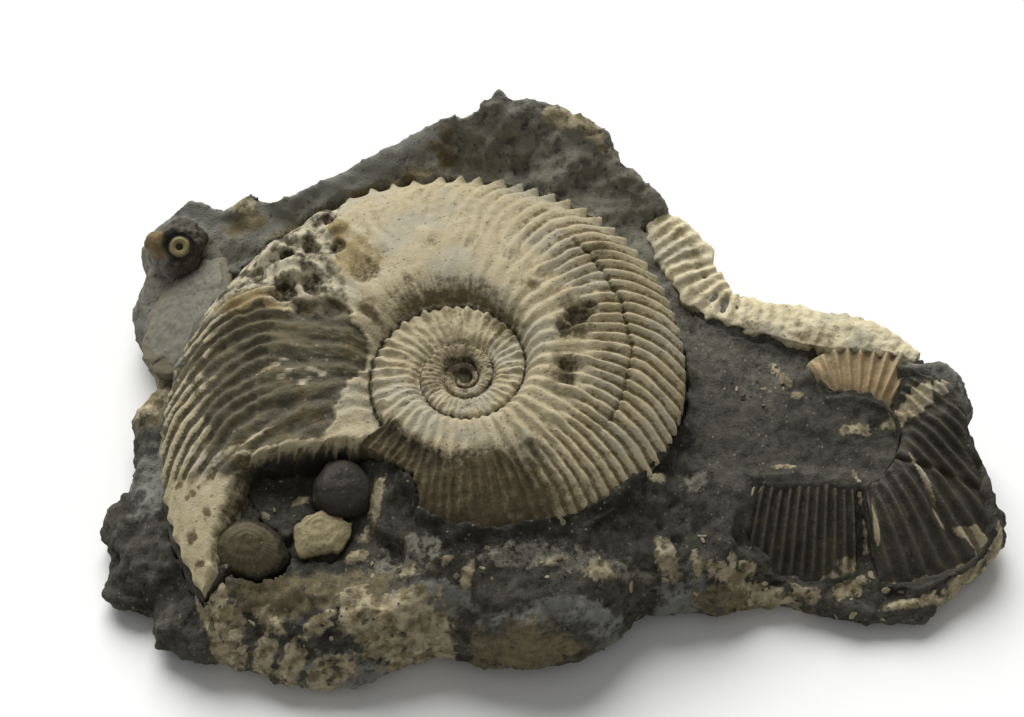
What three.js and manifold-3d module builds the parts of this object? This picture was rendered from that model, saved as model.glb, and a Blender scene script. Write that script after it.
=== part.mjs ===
// A block of dark shelly limestone with a large ribbed ammonite on its upper face.
// Pieces of three more ammonites lie at its right-hand end and along its back edge, and four bivalve
// shells and a worm tube lie in the rock to the left.
// Millimetres, +Z up. The block lies on the flat of its underside, and the finished group is moved so
// that its origin is under the middle of its bounds.
import * as THREE from "three";
import { mergeVertices } from "three/addons/utils/BufferGeometryUtils.js";
import Module from "manifold-3d";

const wasm = await Module();
wasm.setup();

// ---- Driving dimensions -----------------------------------------------------------------------

const MIDDLE = [0, -2]; // every point of the outline is in sight of it
const BED_GAP = 0.3; // between each fossil and the rock it lies in
const BED_OPENING = 8; // how far each bed is cut clear above its fossil
const LONGEST_EDGE = 6; // a longer side of the outline gets a point half way

// The block seen from above, anticlockwise from the left end of the front: x, y, and how high the
// broken side stands there.
const OUTLINE = [
  [-55.8, -36.2, 7], [-50, -38.9, 7], [-43.7, -39.4, 6], [-38.9, -42, 5], [-34, -42.6, 5],
  [-28, -42.4, 5], [-21.7, -39.8, 7], [-16.2, -37.9, 9], [-10.6, -39.2, 11], [-3.7, -40, 12],
  [3.3, -39.2, 12], [7.2, -36.6, 11], [10, -33.2, 9.5], [12.4, -31, 9], [15.9, -31.4, 8],
  [18.7, -30.6, 8], [22.9, -31.4, 6.5], [26.4, -29.8, 5.5], [32.7, -29, 4], [37, -30.6, 4],
  [43.8, -32, 4], [50.8, -32, 4], [52.8, -31, 4.5], [55.4, -28, 5], [59.6, -24.6, 6],
  [63.5, -20.6, 8.4], [63.4, -16.9, 9.5], [61.4, -12.4, 11], [59.8, -8.9, 12], [58.4, -4.5, 13],
  [59.8, -1.6, 14.2], [58, 0.8, 16], [55.6, 2.6, 17], [51.9, 2.8, 16], [48.8, 4.8, 15.2],
  [43.6, 8, 15.5], [40.4, 9.8, 16], [35, 10.8, 15], [30.5, 11.5, 15], [25.2, 12.3, 15.5],
  [22.8, 14.2, 15.6], [21.4, 19, 16.5], [19.6, 23.4, 17.4], [16.8, 27.1, 19.2], [15.9, 29, 21],
  [13.1, 31.4, 22.6], [9.6, 34, 24], [9, 36.2, 25], [5.6, 39.2, 26.2], [2.3, 40.5, 27],
  [-1.4, 41.8, 27.4], [-5.7, 42, 28], [-7.9, 43, 29.2], [-10.8, 41.3, 28], [-13, 40, 26],
  [-16.6, 40.8, 25.2], [-22.4, 37.8, 23.8], [-29.7, 34.4, 22], [-37, 31.2, 20.2], [-42.1, 30, 18.5],
  [-45, 31.6, 18.6], [-48.6, 28.8, 17.5], [-53.8, 31, 17.8], [-56.4, 29.8, 16.6], [-61.2, 26.6, 13.5],
  [-60, 23.6, 12], [-61.8, 18, 10], [-61, 13.9, 9.5], [-58.3, 8.5, 9], [-57.6, 3.9, 8],
  [-60.2, 1.4, 8], [-60.6, -2.9, 8], [-60, -8, 8], [-61.2, -12.4, 7], [-64, -17.6, 6],
  [-62.8, -23.5, 5.5], [-63.6, -27.4, 5], [-62, -30, 4.5], [-56.2, -30.8, 5], [-55.6, -34.8, 6],
];

// Heights of the upper face away from its edge: x, y, z.
const SPOT_HEIGHTS = [
  [-12, 34, 18], [-8, 38.5, 26.5], [1, 35, 24], [5, 28, 19.5], [11, 23, 17.5], [-4, 33, 19.5],
  [-20, 34, 21], [-28, 30, 18], [-37, 26, 15.5], [-45, 24, 16], [-50, 16, 13], [-54, 8, 10.5],
  [-56, -4, 9.5], [-58, -16, 9], [-56, -26, 9], [-50, -33, 10], [-12, -4, 12], [-30, 0, 12],
  [-44, -31, 12.5], [-34, -32, 14], [-30, -35.5, 12.5], [-40, -35, 10], [-22, -33, 14],
  [-12, -31, 14.5], [-3, -30.5, 15.5], [6, -28.5, 14.5], [-20, -24, 16.5], [-22, -17, 17.5],
  [-9, -26, 16.5], [0, -25, 16.5], [7, -21, 16.5], [13, -15, 16.5], [17, -8, 16], [18.5, 2, 16],
  [-38, -22, 13.5], [-31, -22, 14.5], [-27, -28, 14.5], [12, -24, 14], [17, -14, 15], [22, -3, 14.5],
  [19, 9, 15.5], [15, 18, 16.5], [28, 3, 14.5], [27, -8, 14], [34, 4, 14], [32, -3, 14.5],
  [20, -24, 12], [25, -15, 13], [34, -12, 13], [38, -4, 12.5], [42, -9, 10.5], [20, -18, 13.5],
  [44, 1, 12], [48, -12, 9], [56, -17, 6.5], [48, -24, 4], [32, -23, 6], [40, -26, 4],
];

// How the side and the flat underside follow the outline: a share of its size, and of the side's height.
const SIDE_RINGS = [[0.9, 0], [0.965, 0.12], [1, 0.36], [0.997, 0.7], [0.978, 1]];
const TOP_RINGS = [0.935, 0.88, 0.81, 0.73, 0.64, 0.53, 0.4, 0.2];

// The large ammonite: where its axis meets the plane of its outer edge, its lean, its radius at +X,
// the angle at which its mouth is broken off, and how deep it goes into the rock. The part between
// the bite's corners is missing, back from the mouth.
const COIL = {
  at: [-11.8, -4.5, 17], lean: [4.2, -3.3], radius: 29.4, mouth: 218, columns: 84, bed: 5.5,
  bite: [[-44.5, -15], [-37.5, -31], [-20, -31], [-20, -14], [-26, -13.4]],
};
const WHORL_EXPANSION = 2.138; // how many times wider each turn is than the one before
const THICKENING = 1.3; // how many times thicker each turn is: the shell flattened as it grew
const SEAM = 0.297; // where a whorl meets the one inside it, as a share of its radius
const OUTER_FLANK = [[1, 0.02], [0.93, 0.09], [0.8, 0.155]]; // shares of the radius: out, up
const INNER_FLANK = [[SEAM * WHORL_EXPANSION, 0.19], [0.5, 0.215], [0.41, 0.225], [0.35, 0.212]];
const INNER_TURNS = 2;
const CRUSHING = [[-0.2, 0.38], [140, 218, 0.25]]; // sideways slip with height; fall towards the mouth
const COIL_RIB = 0.008; // share of the radius
const COIL_SPINE = 0.012;

// Two sheets of crushed and ribbed whorl, each fanning out from a centre. The rows give the sheet
// anticlockwise: angle, near radius and height, far radius and height.
const SHEETS = {
  right_ammonite: {
    centre: [42.5, -9], columns: 56, ribs: 0.45, bulge: 1.1, bed: 1.4,
    rows: [
      [-82, 6, 11.2, 18.5, 5.2], [-70, 6, 11.2, 20, 4.8], [-49, 5.5, 11.4, 22, 5.6],
      [-32, 5.5, 11.6, 22.4, 7.8], [-24, 5.5, 11.8, 20.8, 9.2], [1, 6, 12, 15.6, 12.6],
      [23, 7, 12.4, 15.8, 14.8], [42, 7.5, 12.6, 15, 16], [55, 7.8, 12.4, 13.6, 15.8],
      [95, 8, 11.8, 12.9, 15.4], [118, 8.4, 12, 12.2, 14.9],
    ],
  },
  low_ammonite: {
    centre: [40.3, 30.5], columns: 22, ribs: 0.4, bulge: 0.9, bed: 1.2,
    rows: [
      [-106.4, 47.5, 12.6, 56, 7.2], [-100, 46.4, 12.9, 58, 5.6], [-95, 45.6, 12.6, 58.6, 5],
      [-88.4, 45.4, 11.4, 56.4, 5.2],
    ],
  },
};

// A stretch of whorl lying along the back edge, its middle line given at its widest level.
const EDGE_WHORL = {
  line: [
    [15, 26, 17.8], [18.6, 20.8, 17.2], [21, 15.2, 16.4], [25, 11.4, 15.8], [31.6, 9.8, 15.4],
    [38, 8.4, 15.4], [43, 7.6, 15.4],
  ],
  sections: 26, halfWidth: 3.1, height: 2.2, bed: 2.4, ribs: 0.4,
};

// Bivalve shells: middle, half width, half length and height of the dome, depth, turn and lean.
const VALVES = {
  grey_valve: { at: [-52.6, 13, 12.2], size: [5.6, 9.6, 2], bed: 1.8, turn: -22, lean: [6, -14] },
  dark_valve: { at: [-29.4, -18.4, 15.6], size: [4.2, 4.1, 3], bed: 1.6, turn: 10, lean: [14, 8] },
  brown_valve: { at: [-42.4, -26.6, 12.8], size: [5.6, 4.2, 2.6], bed: 1.8, turn: -8, lean: [24, -6] },
  cream_valve: { at: [-32.4, -24.8, 14.4], size: [4.1, 3.2, 1.2], bed: 1.4, turn: 20, lean: [12, 4] },
};

// The worm tube stands out of the rock as a blunt cone with a raised rim round its bore.
const TUBE = {
  at: [-54.4, 23, 15.4], lean: [34, 4], foot: 4, depth: 3, height: 3.4, rim: 1.75, bore: 0.5, boreDepth: 2.2,
};

// Colour and roughness.
const FINISHES = {
  matrix: [0x4b4a46, 0.92],
  main_ammonite: [0xcfc4a4, 0.75],
  right_ammonite: [0x57524a, 0.85],
  low_ammonite: [0x4a4741, 0.85],
  edge_ammonite: [0xcbbd98, 0.78],
  grey_valve: [0x85898a, 0.6],
  dark_valve: [0x46443f, 0.7],
  brown_valve: [0x6f6549, 0.75],
  cream_valve: [0xbdb592, 0.75],
  worm_tube: [0x5c5548, 0.7],
};

// ---- Helpers ----------------------------------------------------------------------------------

const radians = THREE.MathUtils.degToRad;
const { lerp, smoothstep } = THREE.MathUtils;

function geometryOf(points, faces) {
  const geometry = new THREE.BufferGeometry();
  geometry.setAttribute("position", new THREE.Float32BufferAttribute(points.flat(), 3));
  geometry.setIndex(faces.flat());
  return geometry;
}

// Two triangles for each cell between two rows of point numbers. They face a viewer who sees `to`
// above `from`, both running to the right.
function band(from, to, closed = false) {
  const cells = closed ? from.length : from.length - 1;
  return Array.from({ length: cells }, (_, i) => {
    const next = (i + 1) % from.length;
    return [[from[i], from[next], to[next]], [from[i], to[next], to[i]]];
  }).flat();
}

function fan(centre, ring, closed) {
  const cells = closed ? ring.length : ring.length - 1;
  return Array.from({ length: cells }, (_, i) => [centre, ring[i], ring[(i + 1) % ring.length]]);
}

const flipped = (faces) => faces.map(([a, b, c]) => [a, c, b]);

// Triangles over a flat ring of point numbers, facing a viewer who sees it as it is drawn.
function flatFaces(ring, drawn) {
  const contour = drawn.map(([x, y]) => new THREE.Vector2(x, y));
  return THREE.ShapeUtils.triangulateShape(contour, []).map((face) => face.map((i) => ring[i]));
}

// Adds a point and gives its number.
function add(points, ...point) {
  points.push(point);
  return points.length - 1;
}

function solidOf(geometry) {
  const bare = geometry.clone();
  bare.deleteAttribute("normal");
  bare.deleteAttribute("uv");
  const merged = mergeVertices(bare, 1e-4);
  return new wasm.Manifold(new wasm.Mesh({
    numProp: 3,
    vertProperties: new Float32Array(merged.attributes.position.array),
    triVerts: new Uint32Array(merged.index.array),
  }));
}

function geometryOfSolid(solid) {
  const { vertProperties, triVerts } = solid.getMesh();
  const geometry = new THREE.BufferGeometry();
  geometry.setAttribute("position", new THREE.BufferAttribute(vertProperties, 3));
  geometry.setIndex(new THREE.BufferAttribute(triVerts, 1));
  return geometry;
}

// Turns a piece about its own axis, leans it and puts it in its place in the block.
function placement({ at = [0, 0, 0], lean = [0, 0], turn = 0 }) {
  const leant = new THREE.Euler(radians(lean[0]), radians(lean[1]), 0);
  return new THREE.Matrix4()
    .makeTranslation(...at)
    .multiply(new THREE.Matrix4().makeRotationFromEuler(leant))
    .multiply(new THREE.Matrix4().makeRotationZ(radians(turn)));
}

// ---- The rock ---------------------------------------------------------------------------------

// Weighted mean of the spot heights, in which the near ones count most.
function upperFace(x, y) {
  let sum = 0;
  let weights = 0;
  for (const [sx, sy, height] of SPOT_HEIGHTS) {
    const weight = 1 / ((x - sx) ** 2 + (y - sy) ** 2 + 1.5) ** 2;
    sum += weight * height;
    weights += weight;
  }
  return sum / weights;
}

// The outline with a point added half way along each long side.
function outlinePoints() {
  return OUTLINE.flatMap((point, i) => {
    const next = OUTLINE[(i + 1) % OUTLINE.length];
    const length = Math.hypot(next[0] - point[0], next[1] - point[1]);
    if (length < LONGEST_EDGE) return [point];
    return [point, point.map((value, k) => (value + next[k]) / 2)];
  });
}

function rockGeometry() {
  const outline = outlinePoints();
  const points = [];
  const ringAt = (share, height) => outline.map(([x, y, side]) => {
    const px = lerp(MIDDLE[0], x, share);
    const py = lerp(MIDDLE[1], y, share);
    return add(points, px, py, height(px, py, side));
  });

  const rings = SIDE_RINGS.map(([share, rise]) => ringAt(share, (x, y, side) => side * rise));
  const edge = SIDE_RINGS.at(-1)[0];
  for (const share of TOP_RINGS) {
    const inward = smoothstep(edge - share, 0, 0.13);
    rings.push(ringAt(share, (x, y, side) => lerp(side, upperFace(x, y), inward)));
  }

  const top = add(points, ...MIDDLE, upperFace(...MIDDLE));
  const foot = add(points, ...MIDDLE, 0);
  return geometryOf(points, [
    ...rings.slice(1).flatMap((ring, i) => band(rings[i], ring, true)),
    ...fan(top, rings.at(-1), true),
    ...flipped(fan(foot, rings[0], true)),
  ]);
}

// ---- Ammonites --------------------------------------------------------------------------------

// A coiled shell lying on its side and growing anticlockwise, broken off flat at its mouth. The rows
// of points across a whorl repeat from turn to turn, each time smaller by the whorl expansion, so the
// inner rows of the last column are the outer rows of the first.
// Its bed is plain, with half the columns.
function coilGeometry({ radius, mouth, columns, bed }, grow = 0) {
  const steps = grow ? columns / 2 : columns;
  const end = radians(mouth) + (1.4 * grow) / radius;
  const outer = OUTER_FLANK.length;
  const step = INNER_FLANK.length;
  const lift = grow ? BED_OPENING : 0;
  const points = [];

  const [slip, [fallStart, fallEnd, fall]] = CRUSHING;

  const built = Array.from({ length: steps + 1 }, (_, i) => {
    const angle = end - 2 * Math.PI * (1 - i / steps);
    const whorl = radius * WHORL_EXPANSION ** (angle / (2 * Math.PI));
    const thickness = radius * THICKENING ** (angle / (2 * Math.PI));
    const fallen = 1 - fall * smoothstep(angle, radians(fallStart), radians(fallEnd));
    const rib = grow ? 1 : i % 2;
    const put = (r, up) => {
      const slid = Math.max(up, 0);
      const x = r * Math.cos(angle) + slip[0] * slid;
      return add(points, x, r * Math.sin(angle) + slip[1] * slid, up + (up > 0 ? lift : 0));
    };
    const rim = whorl * (1 + COIL_SPINE * rib) + grow;
    const top = OUTER_FLANK.map(([out, up], row) => (
      put(row ? whorl * out : rim, thickness * fallen * (up + COIL_RIB * rib))
    ));
    for (let turns = 0; turns <= INNER_TURNS; turns++) {
      const size = whorl / WHORL_EXPANSION ** turns;
      const thick = (thickness / THICKENING ** turns) * (turns ? 1 : fallen);
      top.push(...INNER_FLANK.map(([out, up]) => put(size * out, thick * (up + COIL_RIB * rib))));
    }
    return { top, foot: put(rim, -bed - grow) };
  });

  const first = built[0];
  const last = built[steps];
  const rows = first.top.length;
  last.top = last.top.map((point, row) => (row < outer + step ? point : first.top[row - step]));

  const eye = add(points, 0, 0, points[first.top[rows - 1]][2] * 0.97);
  const feet = built.map(({ foot }) => foot);
  const broken = [
    ...last.top.slice(0, outer + step + 1), ...first.top.slice(0, outer).reverse(), first.foot, last.foot,
  ];
  const brokenDrawn = broken.map((i) => [Math.hypot(points[i][0], points[i][1]), points[i][2]]);
  return geometryOf(points, [
    ...built.slice(1).flatMap((next, i) => band(next.top, built[i].top)),
    ...band(feet, built.map(({ top }) => top[0])),
    ...fan(eye, built.map(({ top }) => top[rows - 1]), false),
    ...fan(eye, first.top.slice(rows - step - 1), false),
    ...flipped(flatFaces(feet, feet.map((i) => points[i]))),
    ...flipped(flatFaces(broken, brokenDrawn)),
  ]);
}

// The row of a sheet at an angle between two of those given.
function sheetRow(rows, angle) {
  const after = Math.max(1, rows.findIndex(([at]) => at >= angle - 1e-9));
  const [low, high] = [rows[after - 1], rows[after]];
  const between = (angle - low[0]) / (high[0] - low[0]);
  return low.map((value, k) => lerp(value, high[k], between));
}

// A sheet of ribbed whorl over a sector, with a flat lower side.
function sheetGeometry({ centre, rows, columns, ribs, bulge, bed }, grow = 0) {
  const across = 3;
  const lift = grow ? BED_OPENING : 0;
  const points = [];
  const level = Math.min(...rows.map((row) => Math.min(row[2], row[4]))) - bed - grow;
  const built = Array.from({ length: columns + 1 }, (_, i) => {
    const [angle, near, nearZ, far, farZ] = sheetRow(rows, lerp(rows[0][0], rows.at(-1)[0], i / columns));
    const beyond = (i === columns) - (i === 0);
    const turned = radians(angle) + (beyond * grow) / near;
    const put = (r, z) => add(points, centre[0] + r * Math.cos(turned), centre[1] + r * Math.sin(turned), z);
    const top = Array.from({ length: across + 1 }, (_, k) => {
      const out = k / across;
      const rib = (i % 2) * ribs * (k && k < across ? 1 : 0.5);
      const arch = bulge * 4 * out * (1 - out);
      return put(lerp(near - grow, far + grow, out), lerp(nearZ, farZ, out) + arch + rib + lift);
    });
    return { top, feet: [put(near - grow, level), put(far + grow, level)] };
  });
  const capOf = ({ top, feet }) => {
    const ring = [...feet, ...top.toReversed()];
    const reach = (i) => Math.hypot(points[i][0] - centre[0], points[i][1] - centre[1]);
    return flatFaces(ring, ring.map((i) => [reach(i), points[i][2]]));
  };
  return geometryOf(points, [
    ...built.slice(1).flatMap((next, i) => [
      ...band(built[i].top, next.top),
      ...band(next.feet, built[i].feet),
    ]),
    ...band(built.map(({ feet }) => feet[1]), built.map(({ top }) => top[across])),
    ...band(built.map(({ top }) => top[0]), built.map(({ feet }) => feet[0])),
    ...capOf(built[0]),
    ...flipped(capOf(built[columns])),
  ]);
}

// A stretch of ribbed whorl along a line, with a half-round back and a flat lower side.
function whorlGeometry({ line, sections, halfWidth, height, bed, ribs }, grow = 0) {
  const path = new THREE.CatmullRomCurve3(line.map((point) => new THREE.Vector3(...point)));
  const arc = 8;
  const steps = grow ? sections / 2 : sections;
  const lift = grow ? BED_OPENING : 0;
  const points = [];
  const built = Array.from({ length: steps + 1 }, (_, i) => {
    const along = i / steps;
    const middle = path.getPointAt(along);
    const ahead = path.getTangentAt(along);
    if (i === 0) middle.addScaledVector(ahead, -grow);
    if (i === steps) middle.addScaledVector(ahead, grow);
    const right = new THREE.Vector3(ahead.y, -ahead.x, 0).normalize();
    const taper = 0.5 + 0.5 * Math.sin(Math.PI * THREE.MathUtils.clamp(along, 0.03, 0.97)) ** 0.5;
    return Array.from({ length: arc + 2 }, (_, k) => {
      const angle = (Math.PI * k) / (arc + 1);
      const isFoot = k === 0 || k === arc + 1;
      const over = (height * taper + ribs * (i % 2)) * Math.sin(angle) + lift;
      const point = middle.clone().addScaledVector(right, (halfWidth * taper + grow) * Math.cos(angle));
      return add(points, point.x, point.y, point.z + (isFoot ? -bed - grow : over));
    });
  });
  const capOf = (ring) => {
    const drawn = ring.map((i, k) => [Math.cos((Math.PI * k) / (arc + 1)), points[i][2]]);
    return flatFaces(ring, drawn);
  };
  return geometryOf(points, [
    ...built.slice(1).flatMap((ring, i) => band(ring, built[i], true)),
    ...capOf(built[0]),
    ...flipped(capOf(built[steps])),
  ]);
}

// ---- Other fossils ----------------------------------------------------------------------------

// A domed bivalve shell, narrower towards its beak at +Y, with a flat lower side.
function valveGeometry({ size: [halfX, halfY, dome], bed }, grow = 0) {
  const around = 24;
  const levels = grow
    ? [[1, BED_OPENING / dome]]
    : [[1, 0], [0.93, 0.36], [0.78, 0.66], [0.55, 0.88], [0.28, 0.98]];
  const top = grow ? BED_OPENING + 1 : dome;
  const beak = halfY * 0.3;
  const points = [];
  const ringAt = (share, z) => Array.from({ length: around }, (_, i) => {
    const angle = (2 * Math.PI * i) / around;
    const narrowing = 1 - 0.16 * Math.sin(angle);
    const x = (halfX + grow) * share * narrowing * Math.cos(angle);
    return add(points, x, (halfY + grow) * share * Math.sin(angle) + (1 - share) * beak, z);
  });
  const foot = ringAt(grow ? 1 : 0.94, -bed - grow);
  const rings = [foot, ...levels.map(([share, rise]) => ringAt(share, dome * rise))];
  return geometryOf(points, [
    ...rings.slice(1).flatMap((ring, i) => band(rings[i], ring, true)),
    ...fan(add(points, 0, beak, top), rings.at(-1), true),
    ...flipped(fan(add(points, 0, 0, -bed - grow), foot, true)),
  ]);
}

function tubeGeometry({ foot, depth, height, rim, bore, boreDepth }, grow = 0) {
  const cone = [
    [foot, 0], [foot * 0.86, height * 0.5], [rim * 1.35, height * 0.86], [rim, height],
    [bore, height - 0.3], [bore * 0.8, height - boreDepth], [0, height - boreDepth],
  ];
  const well = [[foot + grow, BED_OPENING], [0, BED_OPENING]];
  const profile = [[0, -depth - grow], [foot * 0.9 + grow, -depth - grow], ...(grow ? well : cone)];
  return new THREE.LatheGeometry(profile.map(([r, z]) => new THREE.Vector2(r, z)), 24).rotateX(Math.PI / 2);
}

// ---- The finished block -----------------------------------------------------------------------

function meshOf(name, geometry) {
  const [color, roughness] = FINISHES[name];
  const mesh = new THREE.Mesh(geometry, new THREE.MeshStandardMaterial({ color, roughness, metalness: 0 }));
  mesh.name = name;
  return mesh;
}

const block = new THREE.Group();
const beds = [];

// Slivers that the beds cut free of a piece are left out.
function withoutBeds(solid) {
  const bodies = beds.reduce((left, bed) => left.subtract(bed), solid).decompose();
  return bodies.sort((a, b) => b.volume() - a.volume())[0];
}

// Upright prism over a bite's corners, drawn in by a margin.
function bitePrism(corners, margin) {
  const outline = corners.map(([x, y]) => new THREE.Vector2(x, y));
  const middle = new THREE.Box2().setFromPoints(outline).getCenter(new THREE.Vector2());
  for (const corner of outline) corner.lerp(middle, margin / corner.distanceTo(middle));
  return solidOf(new THREE.ExtrudeGeometry(new THREE.Shape(outline), { depth: 50, bevelEnabled: false }));
}

// A fossil as a solid in its place, less the bite out of it.
function fossilSolid(build, spec, grow) {
  const solid = solidOf(build(spec, grow).applyMatrix4(placement(spec)));
  return spec.bite ? solid.subtract(bitePrism(spec.bite, grow * 1.6)) : solid;
}

// Adds a fossil, which lies under those already added, and keeps its bed.
function setInRock(name, build, spec) {
  block.add(meshOf(name, geometryOfSolid(withoutBeds(fossilSolid(build, spec, 0)))));
  beds.push(fossilSolid(build, spec, BED_GAP));
}

setInRock("main_ammonite", coilGeometry, COIL);
for (const [name, spec] of Object.entries(SHEETS)) setInRock(name, sheetGeometry, spec);
setInRock("edge_ammonite", whorlGeometry, EDGE_WHORL);
for (const [name, spec] of Object.entries(VALVES)) setInRock(name, valveGeometry, spec);
setInRock("worm_tube", tubeGeometry, TUBE);

block.add(meshOf("matrix", geometryOfSolid(withoutBeds(solidOf(rockGeometry())))));

const bounds = new THREE.Box3().setFromObject(block);
const centre = bounds.getCenter(new THREE.Vector3());
block.position.set(-centre.x, -centre.y, -bounds.min.z);

export default block;
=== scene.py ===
# A block of dark shelly limestone with a large ribbed ammonite on its upper face, pieces of three more
# ammonites, four bivalve shells and a worm tube.
# Places and sizes are in millimetres from the block's own origin, and each finished mesh is in metres.
import math

import bmesh
import bpy
import numpy as np
from mathutils import Matrix, Vector, noise
from mathutils.bvhtree import BVHTree
from mathutils.kdtree import KDTree


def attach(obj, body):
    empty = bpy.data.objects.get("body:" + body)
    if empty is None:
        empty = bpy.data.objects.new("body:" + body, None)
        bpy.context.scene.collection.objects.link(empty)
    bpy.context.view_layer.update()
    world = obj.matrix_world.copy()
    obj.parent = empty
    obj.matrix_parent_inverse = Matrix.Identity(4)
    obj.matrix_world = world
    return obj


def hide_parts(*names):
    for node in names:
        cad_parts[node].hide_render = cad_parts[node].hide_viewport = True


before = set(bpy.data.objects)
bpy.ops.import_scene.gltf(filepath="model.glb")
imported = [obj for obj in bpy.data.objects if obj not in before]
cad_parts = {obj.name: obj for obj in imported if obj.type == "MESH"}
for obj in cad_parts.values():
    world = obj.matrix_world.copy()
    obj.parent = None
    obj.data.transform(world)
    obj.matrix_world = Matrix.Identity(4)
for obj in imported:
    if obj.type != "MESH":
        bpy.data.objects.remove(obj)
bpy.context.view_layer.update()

MM = 0.001
ORIGIN = Vector((0.25, -0.2, 0.0))  # the block's own origin, in the frame
TO_FRAME = Matrix.Scale(MM, 4) @ Matrix.Translation(ORIGIN)
FOSSILS = [
    "main_ammonite", "right_ammonite", "low_ammonite", "edge_ammonite",
    "grey_valve", "dark_valve", "brown_valve", "cream_valve", "worm_tube",
]

# ---- Sizes ------------------------------------------------------------------------------------

# The large ammonite: its axis, lean, radius at +X, and the angle at which its mouth is broken off.
COIL_PLACE = {"at": (-11.8, -4.5, 17), "lean": (4.2, -3.3)}
COIL = {
    "Columns": 760, "Wall rows": 4, "Outer rows": 44, "Rows a turn": 17, "Inner turns": 4,
    "Radius": 29.4, "Whorl expansion": 2.138, "Thickening": 1.3, "Seam": 0.297, "Mouth": 218.0,
    "Bed": 5.5, "Slip across": -0.2, "Slip back": 0.38, "Ribs a turn": 84.0, "Rib height": 0.62,
    "Spine": 1.2, "Tubercle": 0.55, "Unevenness": 0.017, "Inner relief": 0.42,
}
# Height of the flank over the edge, as a share of the radius, at shares of the way out.
FLANK = [
    (0.297, 0.145), (0.315, 0.17), (0.352, 0.205), (0.41, 0.225), (0.5, 0.217), (0.635, 0.19),
    (0.8, 0.155), (0.93, 0.085), (1.0, 0.0),
]
FLANK_TOP = 0.25
EARLY_WHORLS = {"before": 0.39, "raised": 0.62}  # turns before +X, and how far they stay level from there
EARLY_RIBS = (-120, -190)  # the angles between which the ribs become single ones
SHOULDER_HEIGHT = 0.19  # where an inner whorl comes out from under the next
FORK = (0.54, 0.68)  # the shares of the way out between which a rib forks
TUBERCLE_ROW = {"share": 0.585, "width": 0.05}
# How strongly the ribs stand out, and how far they lean forward on the outer flank, by angle.
RIB_STRENGTH = [
    (-500, 0.5), (-300, 0.8), (-200, 0.95), (-142, 0.95), (-60, 1.1), (30, 1.05), (50, 0.75), (70, 0.45),
    (100, 0.32), (125, 0.26), (140, 0.5), (158, 0.8), (198, 0.85), (208, 0.3), (218, 0.25),
]
SPINE_SIZE = [
    (-500, 0), (-142, 0.2), (10, 0.25), (50, 0.8), (70, 1.4), (112, 1.4), (122, 0.6), (150, 0.3), (218, 0.3),
]
RIB_LEAN = [(-500, 0), (-142, 0), (-60, -3), (0, -7), (90, -6), (140, 9), (165, 17), (218, 18)]
MOUTH_FALL = (140, 218, 0.25)  # the whorl is crushed lower towards its mouth

# The stretch of the mouth that is missing, and the line left of which the shell itself has gone.
BITE = [
    (-43.4, -15.4), (-45.4, -21), (-47.2, -26.5), (-47.6, -36), (-20, -36), (-20, -19), (-24.6, -16),
    (-29, -13.8), (-36, -14.4),
]
BITE_ROCK = 12.9  # the rock's height in it
SHELL_EDGE = [
    (-33, -15), (-30.6, -10.5), (-29.8, -6), (-27, -2), (-26, 1.2), (-28.6, 4.3), (-29.9, 9.2),
    (-31.2, 17.8), (-31.6, 24), (-29, 31),
]
SHELL_THICKNESS = 0.55
FRONT_CORNER = ((-37, -40), (-16.4, -17.6))  # in X and Y, where the mould passes into smooth worn shell
CRUSHED_FROM = (7.6, 10.4)  # in Y, where the mould passes into the crushed part
# x, y, radius, height: crushed lumps, and pits and holes.
LUMPS = [
    (-40.1, 18.7, 2.8, 1.9), (-36.5, 20.4, 2.4, 1.6), (-34.1, 24.6, 2.2, 1.4), (-31.6, 21.2, 1.8, 1.1),
    (-37.4, 14.4, 3.0, 1.9), (-33.1, 15, 2.2, 1.0), (-42.4, 10.4, 3, 0.8), (-46.2, 10.9, 2, 0.6),
    (-38.4, 10.6, 1.8, -1.4), (-34.4, 11.4, 1.6, -1.2), (-42.6, 14.4, 1.6, -1.1), (-31.6, 6.8, 1.6, -0.9),
    (-35.4, 7.4, 1.8, -0.8), (-34.6, 18, 1.3, -1.2), (-38.2, 17, 1.1, -1.1), (-32.4, 23.4, 1.0, -1.0),
    (-37.6, 22.8, 1.2, -1.2), (-31, 17.6, 1.2, -0.9),
]
PITS = [
    (3.1, 4.4, 1.9, -1.5), (1.2, 2.2, 1.3, -1.1), (5.0, 5.9, 1.1, -0.9), (1.7, -3.4, 1.5, -1.1),
    (1.9, -5.9, 1.0, -0.7), (-27.0, 12.6, 2.2, -0.8), (-28.0, 15.0, 1.2, -0.4), (-20.8, 10.6, 0.8, -0.7),
    (-24.2, 15.6, 0.7, -0.5), (-17.4, 17, 0.8, -0.5), (-12.1, 16.6, 0.8, -0.5), (-6.7, 14.2, 0.8, -0.5),
    (-2.0, 11.2, 0.8, -0.4),
]
# Where the missing end of the mouth lay over the turn before it.
MOUTH_SCAR = [
    (-25.4, -8.4), (-20.7, -13.9), (-14.7, -17.2), (-7.8, -15.8), (-3, -13.6), (5, -12), (12, -30),
    (-25, -32), (-36, -20),
]
SPIRAL_CRACK = {"share": 0.79, "from": -24, "to": 52, "step": 0.4}
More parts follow.
